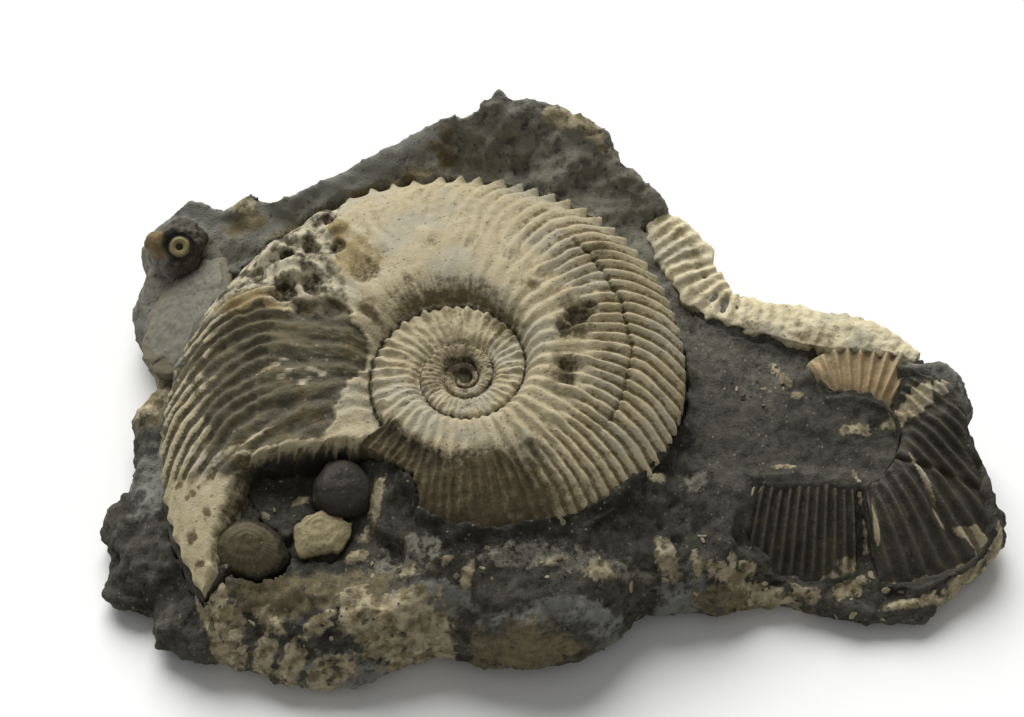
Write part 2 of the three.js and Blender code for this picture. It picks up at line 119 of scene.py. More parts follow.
# Colour patches on the large ammonite: x, y, half length, half width, turn.
SMUDGED_CENTRE = [(-13.2, -1.5, 2.9, 2.3, -20)]
# A painted glint: a strip where the smudged centre is left pale.
PAINTED_GLINT_IN_CENTRE = [(-13.8, 0.1, 2.1, 0.45, 4)]
SHELL_STAINS = [
    (-7, 4, 2, 3, 30), (2.6, 3.6, 2.2, 3.6, -20), (6.6, 16, 1.6, 1.4, 0), (0.6, -4.6, 1.6, 2.6, 0),
    (-26, 6, 1.6, 3, 20), (-20.4, -14.4, 3, 1.6, -20), (-14.2, -0.6, 2.6, 2.4, 0), (-4, 9.6, 2, 1.2, 0),
]
CORNER_SPOTS = [
    (-50.4, -19.4, 0.9, 0.6, 30), (-48.2, -22.6, 0.6, 1.0, 0), (-50.2, -25.6, 0.7, 0.9, 20),
    (-47.6, -17.4, 1.2, 0.4, 20), (-49, -29.4, 0.8, 0.6, 0), (-52.4, -17.6, 0.6, 0.5, 0),
]
YELLOWED_SHELL = [
    (-28.4, 15, 3, 4.4, 15), (-31, 20.6, 1.6, 2.4, 0), (-44.4, 9.6, 4, 1.8, 0), (-41, 8, 3.4, 1.4, -20),
]
SHELL_BEHIND_MOULD = [(-43.4, 10.2, 4.4, 1.7, 8), (-39.2, 8.4, 2.4, 1.1, -30)]
SHELL_ON_MOULD = [
    (-37.8, -3, 1.8, 0.35, 30), (-35.2, -4.4, 1.1, 0.5, 40), (-34.2, -2.6, 1.2, 0.3, -20),
    (-32.6, -3.4, 0.8, 0.4, 20), (-36, -13.8, 8, 0.5, 5), (-41, -14.6, 3, 0.35, 20),
    (-43, -12.6, 5, 0.28, 26), (-47, -15.4, 4, 0.3, 36), (-40, -1.6, 3, 0.3, 24),
]

# Two fans of crushed and ribbed whorl. The rows give each from its centre, anticlockwise: angle,
# near radius and height, far radius and height. Past one angle the ribs run out from the fan's own
# centre, as back ribs.
BACK_RIBS_FROM = 50
FANS = {
    "right_ammonite": {
        "centre": (42.5, -9.0), "columns": 420, "across": 48, "bulge": 1.1, "bed": 1.4,
        "rib centre": (33.4, 12.8), "ribs": 116.0, "back ribs": 46.0, "rib height": 0.85, "seed": 3.0,
        "rows": [
            (-82, 6, 11.2, 18.5, 5.2), (-70, 6, 11.2, 20, 4.8), (-49, 5.5, 11.4, 22, 5.6),
            (-32, 5.5, 11.6, 22.4, 7.8), (-24, 5.5, 11.8, 20.8, 9.2), (1, 6, 12, 15.6, 12.6),
            (23, 7, 12.4, 15.8, 14.8), (42, 7.5, 12.6, 15, 16), (55, 7.6, 12.4, 15.4, 15.8),
            (78, 7.2, 12, 15.8, 15.6), (98, 7.6, 11.9, 15, 15.3), (120, 10.4, 14, 13.6, 14.9),
        ],
    },
    "low_ammonite": {
        "centre": (40.3, 30.5), "columns": 190, "across": 70, "bulge": 0.9, "bed": 1.2,
        "rib centre": (40.3, 30.5), "ribs": 236.0, "back ribs": 236.0, "rib height": 0.8, "seed": 8.0,
        "rows": [
            (-106.4, 47.5, 12.6, 56, 7.2), (-100, 46.4, 12.9, 58, 5.6), (-95, 45.6, 12.6, 58.6, 5),
            (-88.4, 45.4, 11.4, 56.4, 5.2),
        ],
    },
}
RIGHT_FAN_CREAM = [
    (48.6, -4.6, 2.6, 1.1, 40), (51.4, -3, 2.6, 1.5, 48), (54.8, -1.3, 1.7, 1.1, 10),
    (58.4, -21.6, 2.4, 1.2, -20), (60.4, -22.6, 2, 1.4, 40), (51, -27.6, 4, 0.8, 12),
    (46, -28.2, 2.6, 0.7, 0), (44.6, -20, 0.4, 3.4, 6), (51.4, -14, 0.35, 4.2, 24),
    (56, -26, 3.6, 0.7, 30), (53.4, -19.4, 0.3, 1.6, 30),
]
LOW_FAN_CREAM = [
    (38.8, -27, 3.2, 1.0, 25), (40.6, -25.4, 1.4, 1.2, 0), (28, -27.4, 4, 0.8, -8), (34, -28.2, 3, 0.5, 0),
    (27, -17, 1.6, 0.8, 30), (30.6, -14.2, 3, 0.25, 5), (25.4, -22.6, 0.3, 1.5, 0),
]
EDGE_LINE = [
    (15, 26, 17.8), (18.6, 20.8, 17.2), (21, 15.2, 16.4), (25, 11.4, 15.8), (31.6, 9.8, 15.4),
    (38, 8.2, 15.4), (44.4, 7.2, 15.6), (48, 5.6, 15.6), (51.4, 3.4, 15.4),
]
EDGE_WHORL = {
    "Sections": 400, "Around": 40, "Height": 1.1, "Bed": 2.4, "Ribs": 25.0, "Rib height": 0.5,
}
EDGE_HALF_WIDTH = [
    (0, 2.0), (0.12, 3.5), (0.26, 3.5), (0.42, 2.6), (0.6, 3.2), (0.76, 3.0), (0.88, 2.1), (1, 0.9),
]
EDGE_RIB_STRENGTH = [(0, 0.7), (0.15, 1.1), (0.38, 1.0), (0.48, 0.45), (0.7, 0.35), (1, 0.5)]
EDGE_DIRT = [(20.6, 19, 0.8, 2.2, 20), (24, 13, 1.6, 1, 0), (36.6, 6.6, 4, 1, -10), (18, 23, 1, 1, 0)]
# Bivalve shells: middle, half width, half length and height of the dome, depth, turn, lean, growth
# lines and how deep they are, radial lines and how deep they are, corners and how angular they are.
VALVE_MESH = {"around": 150, "rings": 56, "innermost": 0.015}
VALVE_DOME = (2.6, 0.75)  # the powers of its profile: how flat its top is, and how full its flank
VALVE_BEAK = 0.3  # how far towards +Y the dome's top lies, as a share of the half length
VALVE_NARROWING = 0.16  # how much narrower the shell is at its beak
VALVE_RAGGED = 0.4  # how far its rim wanders, unless a shell has its own
VALVES = {
    "grey_valve": {
        "at": (-52.6, 13, 12.5), "size": (5.9, 10.2, 1.5), "bed": 1.8, "turn": -22, "lean": (6, -14),
        "growth": (5, 0.03), "radial": (26, 0.03), "corners": (2, 0.1), "ragged": 0.8,
    },
    "dark_valve": {
        "at": (-29.4, -18.4, 15.6), "size": (4.4, 4.2, 3), "bed": 1.6, "turn": 10, "lean": (14, 8),
        "growth": (3, 0.03), "radial": (58, 0.07), "corners": (2, 0.1),
    },
    "brown_valve": {
        "at": (-42.4, -26.6, 12.8), "size": (5.6, 4.2, 2.6), "bed": 1.8, "turn": -8, "lean": (24, -6),
        "growth": (4, 0.07), "radial": (30, 0.02), "corners": (2, 0.1),
    },
    "cream_valve": {
        "at": (-32.4, -24.8, 14.4), "size": (4.4, 3.5, 0.9), "bed": 1.4, "turn": 20, "lean": (12, 4),
        "growth": (3, 0.06), "radial": (24, 0.02), "corners": (5, 0.75),
    },
}
TUBE_PLACE = {"at": (-54.4, 23, 15.4), "lean": (34, 4)}
TUBE_PROFILE = [
    (0.0, -3.0), (3.6, -3.0), (4.0, 0.0), (3.85, 0.9), (3.4, 1.7), (3.0, 2.3), (2.6, 2.8), (2.1, 3.0),
    (1.75, 2.85), (1.5, 2.9), (1.4, 3.15), (1.15, 3.35), (0.8, 3.3), (0.5, 3.05), (0.4, 2.4), (0.34, 1.4),
    (0.0, 1.2),
]
TUBE_MESH = {"around": 110, "steps between rings": 7}
TUBE_SWELLING = (-3.4, 0.6, 1.0)  # the middle of the swelling on its left side

# The rock's surface: cell size, how deep it sinks under a fossil, and its broken relief.
ROCK_CELL = 0.54
ROCK_SOFTENING = {"iterations": 5, "factor": 0.5}
BED_CLOSE = 0.45  # how far the fossils are swollen before the rock is run round them
COVERED_FROM = 0.12  # how much nearer to a fossil than to bare rock counts as under it
LOWEST_FOSSIL = 3
BED_DEPTH = {"small fossils": 1.75, "large ammonite": 3.0}
BED_LAP = {"small fossils": 1.8, "large ammonite": 0.7, "left side": 2.6}  # how far the rock laps onto them
FOOT_HEIGHT = 0.55  # what lies lower than this is set flat on the table
ROCK = {
    "Lump size": 7.5, "Lump height": 1.7, "Facet size": 2.6, "Facet height": 1.0, "Grain size": 1.0,
    "Grain height": 0.45, "Layer height": 1.3, "Layer pitch": 1.5,
}
# The rock swells up to the edges of the fans and laps further onto them.
FAN_BANK = {"height": 0.8, "inward": 1.1, "outward": 2.8, "lap": 2.6, "level share": 0.55}
# The rock stands against the ammonite's front: its line there, how high, and how it falls away.
FRONT_BANK = {
    "line": [
        (-27, -14.6, 17.6), (-25, -15.0, 19.0), (-22.4, -16.8, 20.2), (-19.6, -19.4, 20.1),
        (-18.8, -23.4, 19.0), (-14.6, -25.1, 18.9), (-7.8, -26, 18.9), (0.4, -24.5, 19.0), (3.8, -23.3, 19.0),
        (8.7, -20, 19.0), (11.5, -17.3, 18.9), (15, -13.2, 18.4), (17.6, -8, 16.6),
    ],
    "slope": 0.62, "side slope": 1.1, "width": 9.0, "reach beyond": 4, "lowest": 9,
}
# Patches: x, y, half length, half width, turn.
SMOOTH_ROCK = [
    (-31, 32, 17, 3.6, 26), (-54, 24, 6, 6, 0), (24, -1, 9, 9, 0), (20, 8, 6, 5, 0), (53, 0, 6, 3, -30),
    (31, -7, 9, 8, 0), (-56, 10, 3, 9, 20), (-30, -33, 10, 2.4, 6),
]
ROUGH_ROCK = [
    (-2, 35, 13, 6, -20), (9, 29, 6, 6, 0), (-59, -22, 7, 16, 0), (-33, -38, 15, 5, 0), (44, -29, 16, 4, 0),
    (-50, -34, 8, 5, -20),
]
LAYERED_ROCK = [(-6, -40, 23, 5.5, 0), (14, -34, 8, 4.5, 35), (-24, -42, 9, 4, 0), (-60, -20, 6, 16, 0)]
CREAM_PATCHES = [
    (1.5, 38.4, 3.8, 1.3, -14), (5, 36.8, 3.6, 1.2, -40), (-45.4, 28.9, 2.2, 1.2, 0),
    (31.2, 2.2, 1.1, 0.5, -60), (32.6, 0.4, 1.5, 0.4, -55), (34, -1.6, 0.9, 0.6, 0),
    (32, -13.3, 1.8, 0.35, 6), (14, -17.4, 1.1, 0.7, 30), (5.9, -30.9, 2.2, 1.3, 0),
    (0.4, -30, 1.8, 0.5, 20), (-12.3, -32, 0.7, 1.8, -20),
    (-20.2, -30.3, 1.0, 0.9, 0), (-15, -30.2, 0.9, 0.5, 20), (19.4, -27.6, 0.7, 1.4, 10),
    (24.4, -26.6, 0.5, 1.3, 0), (26.6, -26.4, 1.2, 0.6, 0), (15.2, -27.4, 1.6, 2.2, 20),
    (26.5, -28.4, 6, 1.0, -6), (34.6, -28.6, 2.2, 0.8, -20), (41, -27.4, 2.4, 1.4, 40),
    (50, -30, 5, 0.7, 8), (57, -26.4, 4, 1.1, 38), (61.4, -21.8, 1.8, 2.6, 10), (42.4, -14.9, 0.35, 2.4, 12),
    (43.6, -20.6, 0.4, 2.6, 6), (42.6, -5.9, 2.4, 0.8, 10), (48.6, -4.4, 2.4, 1.2, 35),
    (52, -2.9, 2.8, 1.6, 45), (55.4, -1.4, 1.8, 1.0, 10), (-56.8, 5.9, 1.6, 4.4, 10), (-58.6, 1, 1.8, 3, 0),
    (-48.6, -30.4, 1.6, 6, 14), (-46, -35.6, 2.6, 5.2, 24), (-21.6, -36.8, 6.4, 3.4, 8),
    (-27.6, -35.4, 2.4, 3, 0), (-40, -38.8, 1.6, 2.6, -20), (-36.4, -40.4, 1.7, 2.4, -30),
    (-32.4, -37, 2.6, 0.9, 30), (-31, -41.4, 3.6, 1.3, 10), (-16, -38.2, 2, 1.6, 0),
    (-39.4, -35.6, 2.4, 1, -40),
    (-24.7, -20.6, 0.9, 2.8, -14), (-26.4, -24.4, 0.8, 1.2, -30), (-27.4, -27.6, 1.8, 0.8, 30),
    (-35.6, -18.6, 1.2, 0.7, 30),
]
BROWN_PATCHES = [
    (-5, -41.6, 13, 3.2, 0), (-33, -33, 12, 2.6, 8), (-58, 3, 3, 6, 0),
    (-16, 35.6, 1.6, 2.4, 0), (-27, 29.6, 10, 1.0, 20), (-41, -31.6, 5, 1.6, 0), (27, -30.4, 7, 1.6, 0),
    (-45, 26.6, 3, 1.6, 0), (-38, 25.6, 4, 1, 20),
]
BLUE_PATCHES = [
    (-30, 33, 18, 3.6, 26), (17, -31, 4, 2.4, 30), (-16, -34, 6, 1.6, 0), (2, -36.2, 10, 1.4, 6),
    (-52, 27, 6, 3, 0), (-29, -42, 9, 2, 0), (54, 1.6, 6, 2.4, -30), (-56, -12, 4, 6, 0), (-57, 8, 4, 10, 15),
]
PALE_PATCHES = [
    (-34, 30.6, 16, 2.6, 24), (-12, 37, 5, 3, 10), (0.8, 34.6, 6, 4, -30), (9, 27, 4, 8, 20),
    (8, 30, 8, 7, -40), (19, -16.4, 2.4, 1, 40), (-4, 34, 8, 4, -10), (3, 36, 6, 4, -30),
    (-20, -29, 6, 2, 0), (-31, -21, 3, 1.4, -50), (0, -29.6, 12, 1.4, 0),
]
CHIP_PATCHES = [
    (-34, -38, 14, 5, 0), (-45, -34, 5, 6, 20), (36, -29, 18, 3, 0), (0, -31, 13, 1.8, 0),
    (-20, -30, 6, 2, 0), (22, -27, 6, 3, 0), (30, 0, 5, 4, 0), (-38, -19, 4, 4, 0),
]
SCRAPS = {"Density": 0.24, "Smallest": 0.2, "Largest": 0.9, "Seed": 4}  # Density is to each square millimetre

# ---- Helpers for formulas and node trees ------------------------------------------------------


class Field:
    """A value in a node tree, so that a rule reads as a formula."""

    def __init__(self, tree, source):
        self.tree = tree
        self.source = source

    def math(self, operation, *others, clamp=False):
        made = self.tree.nodes.new("ShaderNodeMath")
        made.operation = operation
        made.use_clamp = clamp
        for socket, value in zip(made.inputs, (self, *others)):
            fill(self.tree, socket, value)
        return Field(self.tree, made.outputs[0])

    def __add__(self, other):
        return self.math("ADD", other)

    def __sub__(self, other):
        return self.math("SUBTRACT", other)

    def __rsub__(self, other):
        return Field(self.tree, other).math("SUBTRACT", self)

    def __mul__(self, other):
        return self.math("MULTIPLY", other)

    def __truediv__(self, other):
        return self.math("DIVIDE", other)

    def __rtruediv__(self, other):
        return Field(self.tree, other).math("DIVIDE", self)

    def __pow__(self, other):
        return self.math("POWER", other)

    __radd__ = __add__
    __rmul__ = __mul__

    def below(self, other):
        return self.math("LESS_THAN", other)

    def above(self, other):
        return self.math("GREATER_THAN", other)

    def ramp(self, low, high):
        """0 at low and below, 1 at high and beyond, smooth between; low may be the greater."""
        made = add_node(
            self.tree, "ShaderNodeMapRange", {0: self, 1: low, 2: high}, interpolation_type="SMOOTHSTEP"
        )
        return Field(self.tree, made.outputs[0])

    def along(self, points, low, high):
        """Read off a smooth curve through points (x, y), with y from low to high."""
        start, end = points[0][0], points[-1][0]
        made = self.tree.nodes.new("ShaderNodeFloatCurve")
        curve = made.mapping.curves[0]
        places = [((x - start) / (end - start), (y - low) / (high - low)) for x, y in points]
        curve.points[0].location, curve.points[-1].location = places[0], places[-1]
        for place in places[1:-1]:
            curve.points.new(*place)
        for point in curve.points:
            point.handle_type = "AUTO_CLAMPED"
        made.mapping.update()
        fill(self.tree, made.inputs["Value"], (self - start) / (end - start))
        return Field(self.tree, made.outputs[0]) * (high - low) + low


def fill(tree, socket, value):
    """Links a socket, or sets it."""
    if isinstance(value, Field):
        value = value.source
    if isinstance(value, bpy.types.NodeSocket):
        tree.links.new(value, socket)
    else:
        socket.default_value = value


def add_node(tree, kind, inputs=None, **settings):
    made = tree.nodes.new(kind)
    for name, value in settings.items():
        setattr(made, name, value)
    for name, value in (inputs or {}).items():
        fill(tree, made.inputs[name], value)
    return made


class Rule:
    """A Geometry Nodes tree with named sizes."""

    def __init__(self, name, sizes):
        self.tree = bpy.data.node_groups.new(name, "GeometryNodeTree")
        self.sizes = sizes
        sockets = self.tree.interface
        sockets.new_socket("Geometry", in_out="INPUT", socket_type="NodeSocketGeometry")
        for size, value in sizes.items():
            kind = "NodeSocketInt" if isinstance(value, int) else "NodeSocketFloat"
            sockets.new_socket(size, in_out="INPUT", socket_type=kind).default_value = value
        sockets.new_socket("Geometry", in_out="OUTPUT", socket_type="NodeSocketGeometry")
        self.start = self.tree.nodes.new("NodeGroupInput").outputs

    def size(self, name):
        return Field(self.tree, self.start[name])

    def add(self, kind, inputs=None, **settings):
        return add_node(self.tree, kind, inputs, **settings)

    def store(self, geometry, **values):
        for name, value in values.items():
            inputs = {"Geometry": geometry, "Value": value, "Name": name}
            geometry = self.add("GeometryNodeStoreNamedAttribute", inputs).outputs[0]
        return geometry

    def named(self, name):
        """A mask that the host mesh carries."""
        made = self.add("GeometryNodeInputNamedAttribute", {"Name": name}, data_type="FLOAT")
        return Field(self.tree, made.outputs[0])

    def vector(self, operation, first, second):
        return self.add("ShaderNodeVectorMath", {0: first, 1: second}, operation=operation).outputs[0]

    def scaled(self, vector, factor):
        return self.add("ShaderNodeVectorMath", {0: vector, "Scale": factor}, operation="SCALE").outputs[0]

    def finish(self, geometry, material):
        real = self.add("GeometryNodeRealizeInstances", {"Geometry": geometry})
        dressed = self.add("GeometryNodeSetMaterial", {"Geometry": real.outputs[0], "Material": material})
        end = self.tree.nodes.new("NodeGroupOutput")
        self.tree.links.new(dressed.outputs[0], end.inputs[0])

    def grid(self, columns, rows):
        """A grid, and the column and row of each of its points."""
        made = self.add(
            "GeometryNodeMeshGrid", {"Vertices X": columns, "Vertices Y": rows, "Size X": 1.0, "Size Y": 1.0}
        )
        index = Field(self.tree, self.add("GeometryNodeInputIndex").outputs[0])
        column = ((index + 0.5) / rows).math("FLOOR")
        return made.outputs[0], column, index - column * rows

    def put(self, geometry, x, y, z):
        place = self.add("ShaderNodeCombineXYZ", {"X": x, "Y": y, "Z": z}).outputs[0]
        return self.add("GeometryNodeSetPosition", {"Geometry": geometry, "Position": place}).outputs[0]

    def make(self, name, host=None):
        """The piece that this rule makes from a host mesh, as a plain mesh."""
        piece = bpy.data.objects.new(name, host or bpy.data.meshes.new(name))
        bpy.context.scene.collection.objects.link(piece)
        modifier = piece.modifiers.new(self.tree.name, "NODES")
        modifier.node_group = self.tree
        for socket in self.tree.interface.items_tree:
            if socket.in_out == "INPUT" and socket.name in self.sizes:
                modifier[socket.identifier] = self.sizes[socket.name]
        return baked(piece)


def baked(piece):
    """Turns what a piece's modifiers make into its own plain mesh."""
    graph = bpy.context.evaluated_depsgraph_get()
    mesh = bpy.data.meshes.new_from_object(
        piece.evaluated_get(graph), preserve_all_data_layers=True, depsgraph=graph
    )
    piece.modifiers.clear()
    piece.data = mesh
    mesh.name = piece.name
    return piece


# ---- Helpers for meshes -----------------------------------------------------------------------


def points_of(mesh):
    flat = np.empty(len(mesh.vertices) * 3, np.float32)
    mesh.vertices.foreach_get("co", flat)
    return flat.reshape(-1, 3).astype(float)


def set_points(mesh, points):
    mesh.vertices.foreach_set("co", points.astype(np.float32).ravel())
    mesh.update()


def read(mesh, name):
    values = np.empty(len(mesh.vertices), np.float32)
    mesh.attributes[name].data.foreach_get("value", values)
    return values.astype(float)


def write(mesh, **masks):
    for name, values in masks.items():
        layer = mesh.attributes.get(name) or mesh.attributes.new(name, "FLOAT", "POINT")
        layer.data.foreach_set("value", values.astype(np.float32))


def forget(mesh, *names):
    for name in names:
        mesh.attributes.remove(mesh.attributes[name])


SHELL_MASKS = ("mould", "crushed", "stain", "yellow", "groove", "hollow", "old", "bite", "grime_and_painted_shade")


def write_shell_masks(mesh, **masks):
    """Writes every mask that the shell finish reads; one that isn't given is 0."""
    blank = np.zeros(len(mesh.vertices))
    write(mesh, **{name: masks.get(name, blank) for name in SHELL_MASKS})


def smooth(low, high, value):
    share = np.clip((value - low) / (high - low), 0, 1)
    return share * share * (3 - 2 * share)


def bell(value):
    """1 at 0, falling smoothly to almost nothing at 2."""
    return np.exp(-(value ** 2))


def wobble(points, size, seed=0.0):
    """Smooth noise from about -1 to 1, with lumps of that size."""
    return np.array([noise.noise(place) for place in (points / size + seed).tolist()])


def roughness(points, size, seed=0.0):
    """Broken noise of three sizes."""
    return (
        wobble(points, size, seed)
        + 0.5 * wobble(points, size * 0.45, seed + 7)
        + 0.25 * wobble(points, size * 0.2, seed + 19)
    )


def patch_mask(points, patches, ragged=0.4, size=1.7, seed=0.0, soft=0.2):
    """1 within the patches and 0 outside them, with a ragged edge."""
    reach = np.full(len(points), 9.0)
    for x, y, half_length, half_width, turn in patches:
        across, along = points[:, 0] - x, points[:, 1] - y
        cosine, sine = math.cos(math.radians(turn)), math.sin(math.radians(turn))
        u = (across * cosine + along * sine) / half_length
        v = (along * cosine - across * sine) / half_width
        reach = np.minimum(reach, np.hypot(u, v))
    return smooth(1 + soft, 1 - soft, reach + ragged * roughness(points, size, seed))


def inside(points, corners, size=1.4, ragged=0.5):
    """How far each point is inside an upright outline, in millimetres, its edge made ragged."""
    x, y = points[:, 0], points[:, 1]
    nearest = np.full(len(points), 1e9)
    crossings = np.zeros(len(points), bool)
    for (ax, ay), (bx, by) in zip(corners, corners[1:] + corners[:1]):
        dx, dy = bx - ax, by - ay
        share = np.clip(((x - ax) * dx + (y - ay) * dy) / (dx * dx + dy * dy), 0, 1)
        nearest = np.minimum(nearest, np.hypot(x - ax - share * dx, y - ay - share * dy))
        spans = (ay > y) != (by > y)
        with np.errstate(divide="ignore", invalid="ignore"):
            crossings ^= spans & (x < ax + (y - ay) * dx / dy)
    return np.where(crossings, nearest, -nearest) + ragged * roughness(points, size, 3)


def placement(at, lean=(0, 0), turn=0):
    return (
        Matrix.Translation(at)
        @ Matrix.Rotation(math.radians(lean[0]), 4, "X")
        @ Matrix.Rotation(math.radians(lean[1]), 4, "Y")
        @ Matrix.Rotation(math.radians(turn), 4, "Z")
    )


def mesh_from(name, points, faces, material):
    mesh = bpy.data.meshes.new(name)
    mesh.from_pydata(points, [], faces)
    mesh.materials.append(material)
    piece = bpy.data.objects.new(name, mesh)
    bpy.context.scene.collection.objects.link(piece)
    return piece


def reshape(mesh, *steps):
    """Opens a mesh for work on its faces, takes each step in turn and puts it back."""
    shape = bmesh.new()
    shape.from_mesh(mesh)
    for step in steps:
        step(shape)
    shape.to_mesh(mesh)
    shape.free()


def face_outward(shape):
    bmesh.ops.recalc_face_normals(shape, faces=shape.faces)
    if shape.calc_volume(signed=True) < 0:
        bmesh.ops.reverse_faces(shape, faces=shape.faces)


def close_below(mesh, level):
    """Makes an open sheet solid, with a wall down to a flat foot at a level."""

    def add_foot(shape):
        foot = bmesh.ops.extrude_face_region(shape, geom=shape.faces[:], use_keep_orig=True)["geom"]
        for vertex in (part for part in foot if isinstance(part, bmesh.types.BMVert)):
            vertex.co.z = level

    reshape(mesh, add_foot, face_outward)


def ring_faces(rings, around):
    """The faces between rings of points, each ring joined to the next one."""
    faces = []
    for start in range(0, (rings - 1) * around, around):
        for i in range(around):
            following = (i + 1) % around
            faces.append((start + i, start + following, start + around + following, start + around + i))
    return faces


def cap_faces(first, around, top):
    """The faces between one ring and a single point."""
    return [(first + i, first + (i + 1) % around, top) for i in range(around)]


def settle(piece, place=Matrix.Identity(4)):
    """Puts a finished piece in its place in the frame, shades it smooth and attaches it to the root body."""
    mesh = piece.data
    mesh.transform(TO_FRAME @ place)
    mesh.shade_smooth()
    mesh.update()
    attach(piece, "root")


# ---- The large ammonite -----------------------------------------------------------------------


def coil_rule(material):
    """A coiled shell lying on its side. Its columns run once round. Its rows run down from the foot of
    the outer wall, across the outer flank, and then inwards from turn to turn."""
    rule = Rule("ribbed coil", COIL)
    seam = rule.size("Seam")
    growth = rule.size("Whorl expansion")
    columns = rule.size("Columns")
    wall = rule.size("Wall rows")
    outer = rule.size("Outer rows")
    step = rule.size("Rows a turn")
    rows = wall + outer + step * rule.size("Inner turns") + 1
    grid, column, row = rule.grid(columns + 1, rows)

    # Where each point is on the spiral: turn, angle, share of the way out, radius and thickness.
    shoulder = seam * growth
    theta = (rule.size("Mouth") / 360 - 1 + column / columns) * math.tau
    inward = (row - wall - outer) / step
    on_inner = inward.above(-0.001)
    turn = (inward.math("MAXIMUM", 0) + 0.0001).math("FLOOR")
    phase = theta - turn * math.tau
    outer_share = 1 - (1 - shoulder) * ((row - wall) / outer)
    inner_share = shoulder * growth ** (0 - (inward.math("MAXIMUM", 0) - turn))
    share = (inner_share * on_inner + outer_share * (1 - on_inner)).math("MINIMUM", 1)
    radius = rule.size("Radius") * growth ** (phase / math.tau)
    sooner = (phase / math.tau + EARLY_WHORLS["before"]).math("MINIMUM", 0)
    thickened = phase / math.tau - sooner * EARLY_WHORLS["raised"]
    thick = rule.size("Radius") * rule.size("Thickening") ** thickened
    start, end, fall = MOUTH_FALL
    fallen = 1 - phase.ramp(math.radians(start), math.radians(end)) * fall

    # Ribs, tubercles and spines.
    degrees = phase * (180 / math.pi)
    strength = degrees.along(RIB_STRENGTH, 0, 1.2)
    lean = degrees.along(RIB_LEAN, -20, 20) * (math.pi / 180)
    out = (share - shoulder) / (1 - shoulder)
    ground = rule.add("ShaderNodeCombineXYZ", {"X": phase * 4, "Y": share * 5})
    uneven = rule.add("ShaderNodeTexNoise", {"Vector": ground.outputs[0], "Scale": 1.0, "Detail": 2.0})
    uneven = Field(rule.tree, uneven.outputs[0]) - 0.5
    bend = phase - lean * out.math("MAXIMUM", 0) ** 1.4 + uneven * rule.size("Unevenness") * 5
    count = bend * rule.size("Ribs a turn")
    fine = count.math("COSINE") * 0.5 + 0.5
    coarse = ((count * 0.5).math("COSINE") * 0.5 + 0.5) ** 0.9
    early = phase.ramp(*(math.radians(angle) for angle in EARLY_RIBS))
    forked = share.ramp(*FORK) * (1 - early)
    crest = fine * forked + coarse * (1 - forked)
    size = (radius / rule.size("Radius")) ** (1 - early * 0.5)
    off_row = (share - TUBERCLE_ROW["share"]) / TUBERCLE_ROW["width"]
    knob = ((count * 0.25).math("COSINE") * 0.5 + 0.5) ** 3 * (0 - off_row ** 2).math("EXPONENT")
    strong = strength * (1 + uneven * 2.2) * (share.ramp(0.34, 0.72) * 0.5 + 0.5)
    size = size.math("MINIMUM", 1.1)
    height = rule.size("Rib height") * strong * size
    raised = crest * height + knob * rule.size("Tubercle") * size * (strength * 0.6 + 0.4)
    edge = share.ramp(0.9, 1.0)
    spine = fine ** 2.5 * share.ramp(0.95, 1.0) * rule.size("Spine") * degrees.along(SPINE_SIZE, 0, 2)

    # The flank's profile, the outer wall, and how far the shell has slipped sideways with its height.
    flank = share.along(FLANK, 0, FLANK_TOP)
    seam_line = (inward - turn) * (FLANK[0][1] - SHOULDER_HEIGHT) + SHOULDER_HEIGHT
    flank = flank + (seam_line - flank) * (early * (1 - rule.size("Inner relief")))
    up = thick * fallen * flank + raised * (1 - edge * 0.75)
    wall_share = ((wall - row) / wall).math("MAXIMUM", 0)
    up = up - wall_share * rule.size("Bed")
    reach = radius * share + raised * edge * 0.35 + spine * (1 - wall_share)
    slid = up.math("MAXIMUM", 0)
    x = reach * theta.math("COSINE") + slid * rule.size("Slip across")
    y = reach * theta.math("SINE") + slid * rule.size("Slip back")
    shell = rule.put(grid, x, y, up)
    shell = rule.store(
        shell, phase=phase, share=share, inward=inward, crest=crest, column=column / columns, row=row / rows,
        rib_height=height,
    )
    merged = rule.add("GeometryNodeMergeByDistance", {"Geometry": shell, "Distance": 0.004})
    rule.finish(merged.outputs[0], material)
    return rule


def fill_foot(shape):
    """Lays one face across the foot of the coil's outer wall."""
    column, row = (shape.verts.layers.float[name] for name in ("column", "row"))
    foot = [vertex for vertex in shape.verts if vertex[row] < 1e-6]
    shape.faces.new(sorted(foot, key=lambda vertex: vertex[column]))


def fill_holes(shape):
    """Fills the broken mouth and the eye of the coil."""
    open_edges = [edge for edge in shape.edges if edge.is_boundary]
    bmesh.ops.holes_fill(shape, edges=open_edges, sides=0)
    bmesh.ops.triangulate(shape, faces=[face for face in shape.faces if len(face.verts) > 4])


def split_quads(shape):
    bmesh.ops.triangulate(shape, faces=shape.faces, quad_method="SHORT_EDGE")


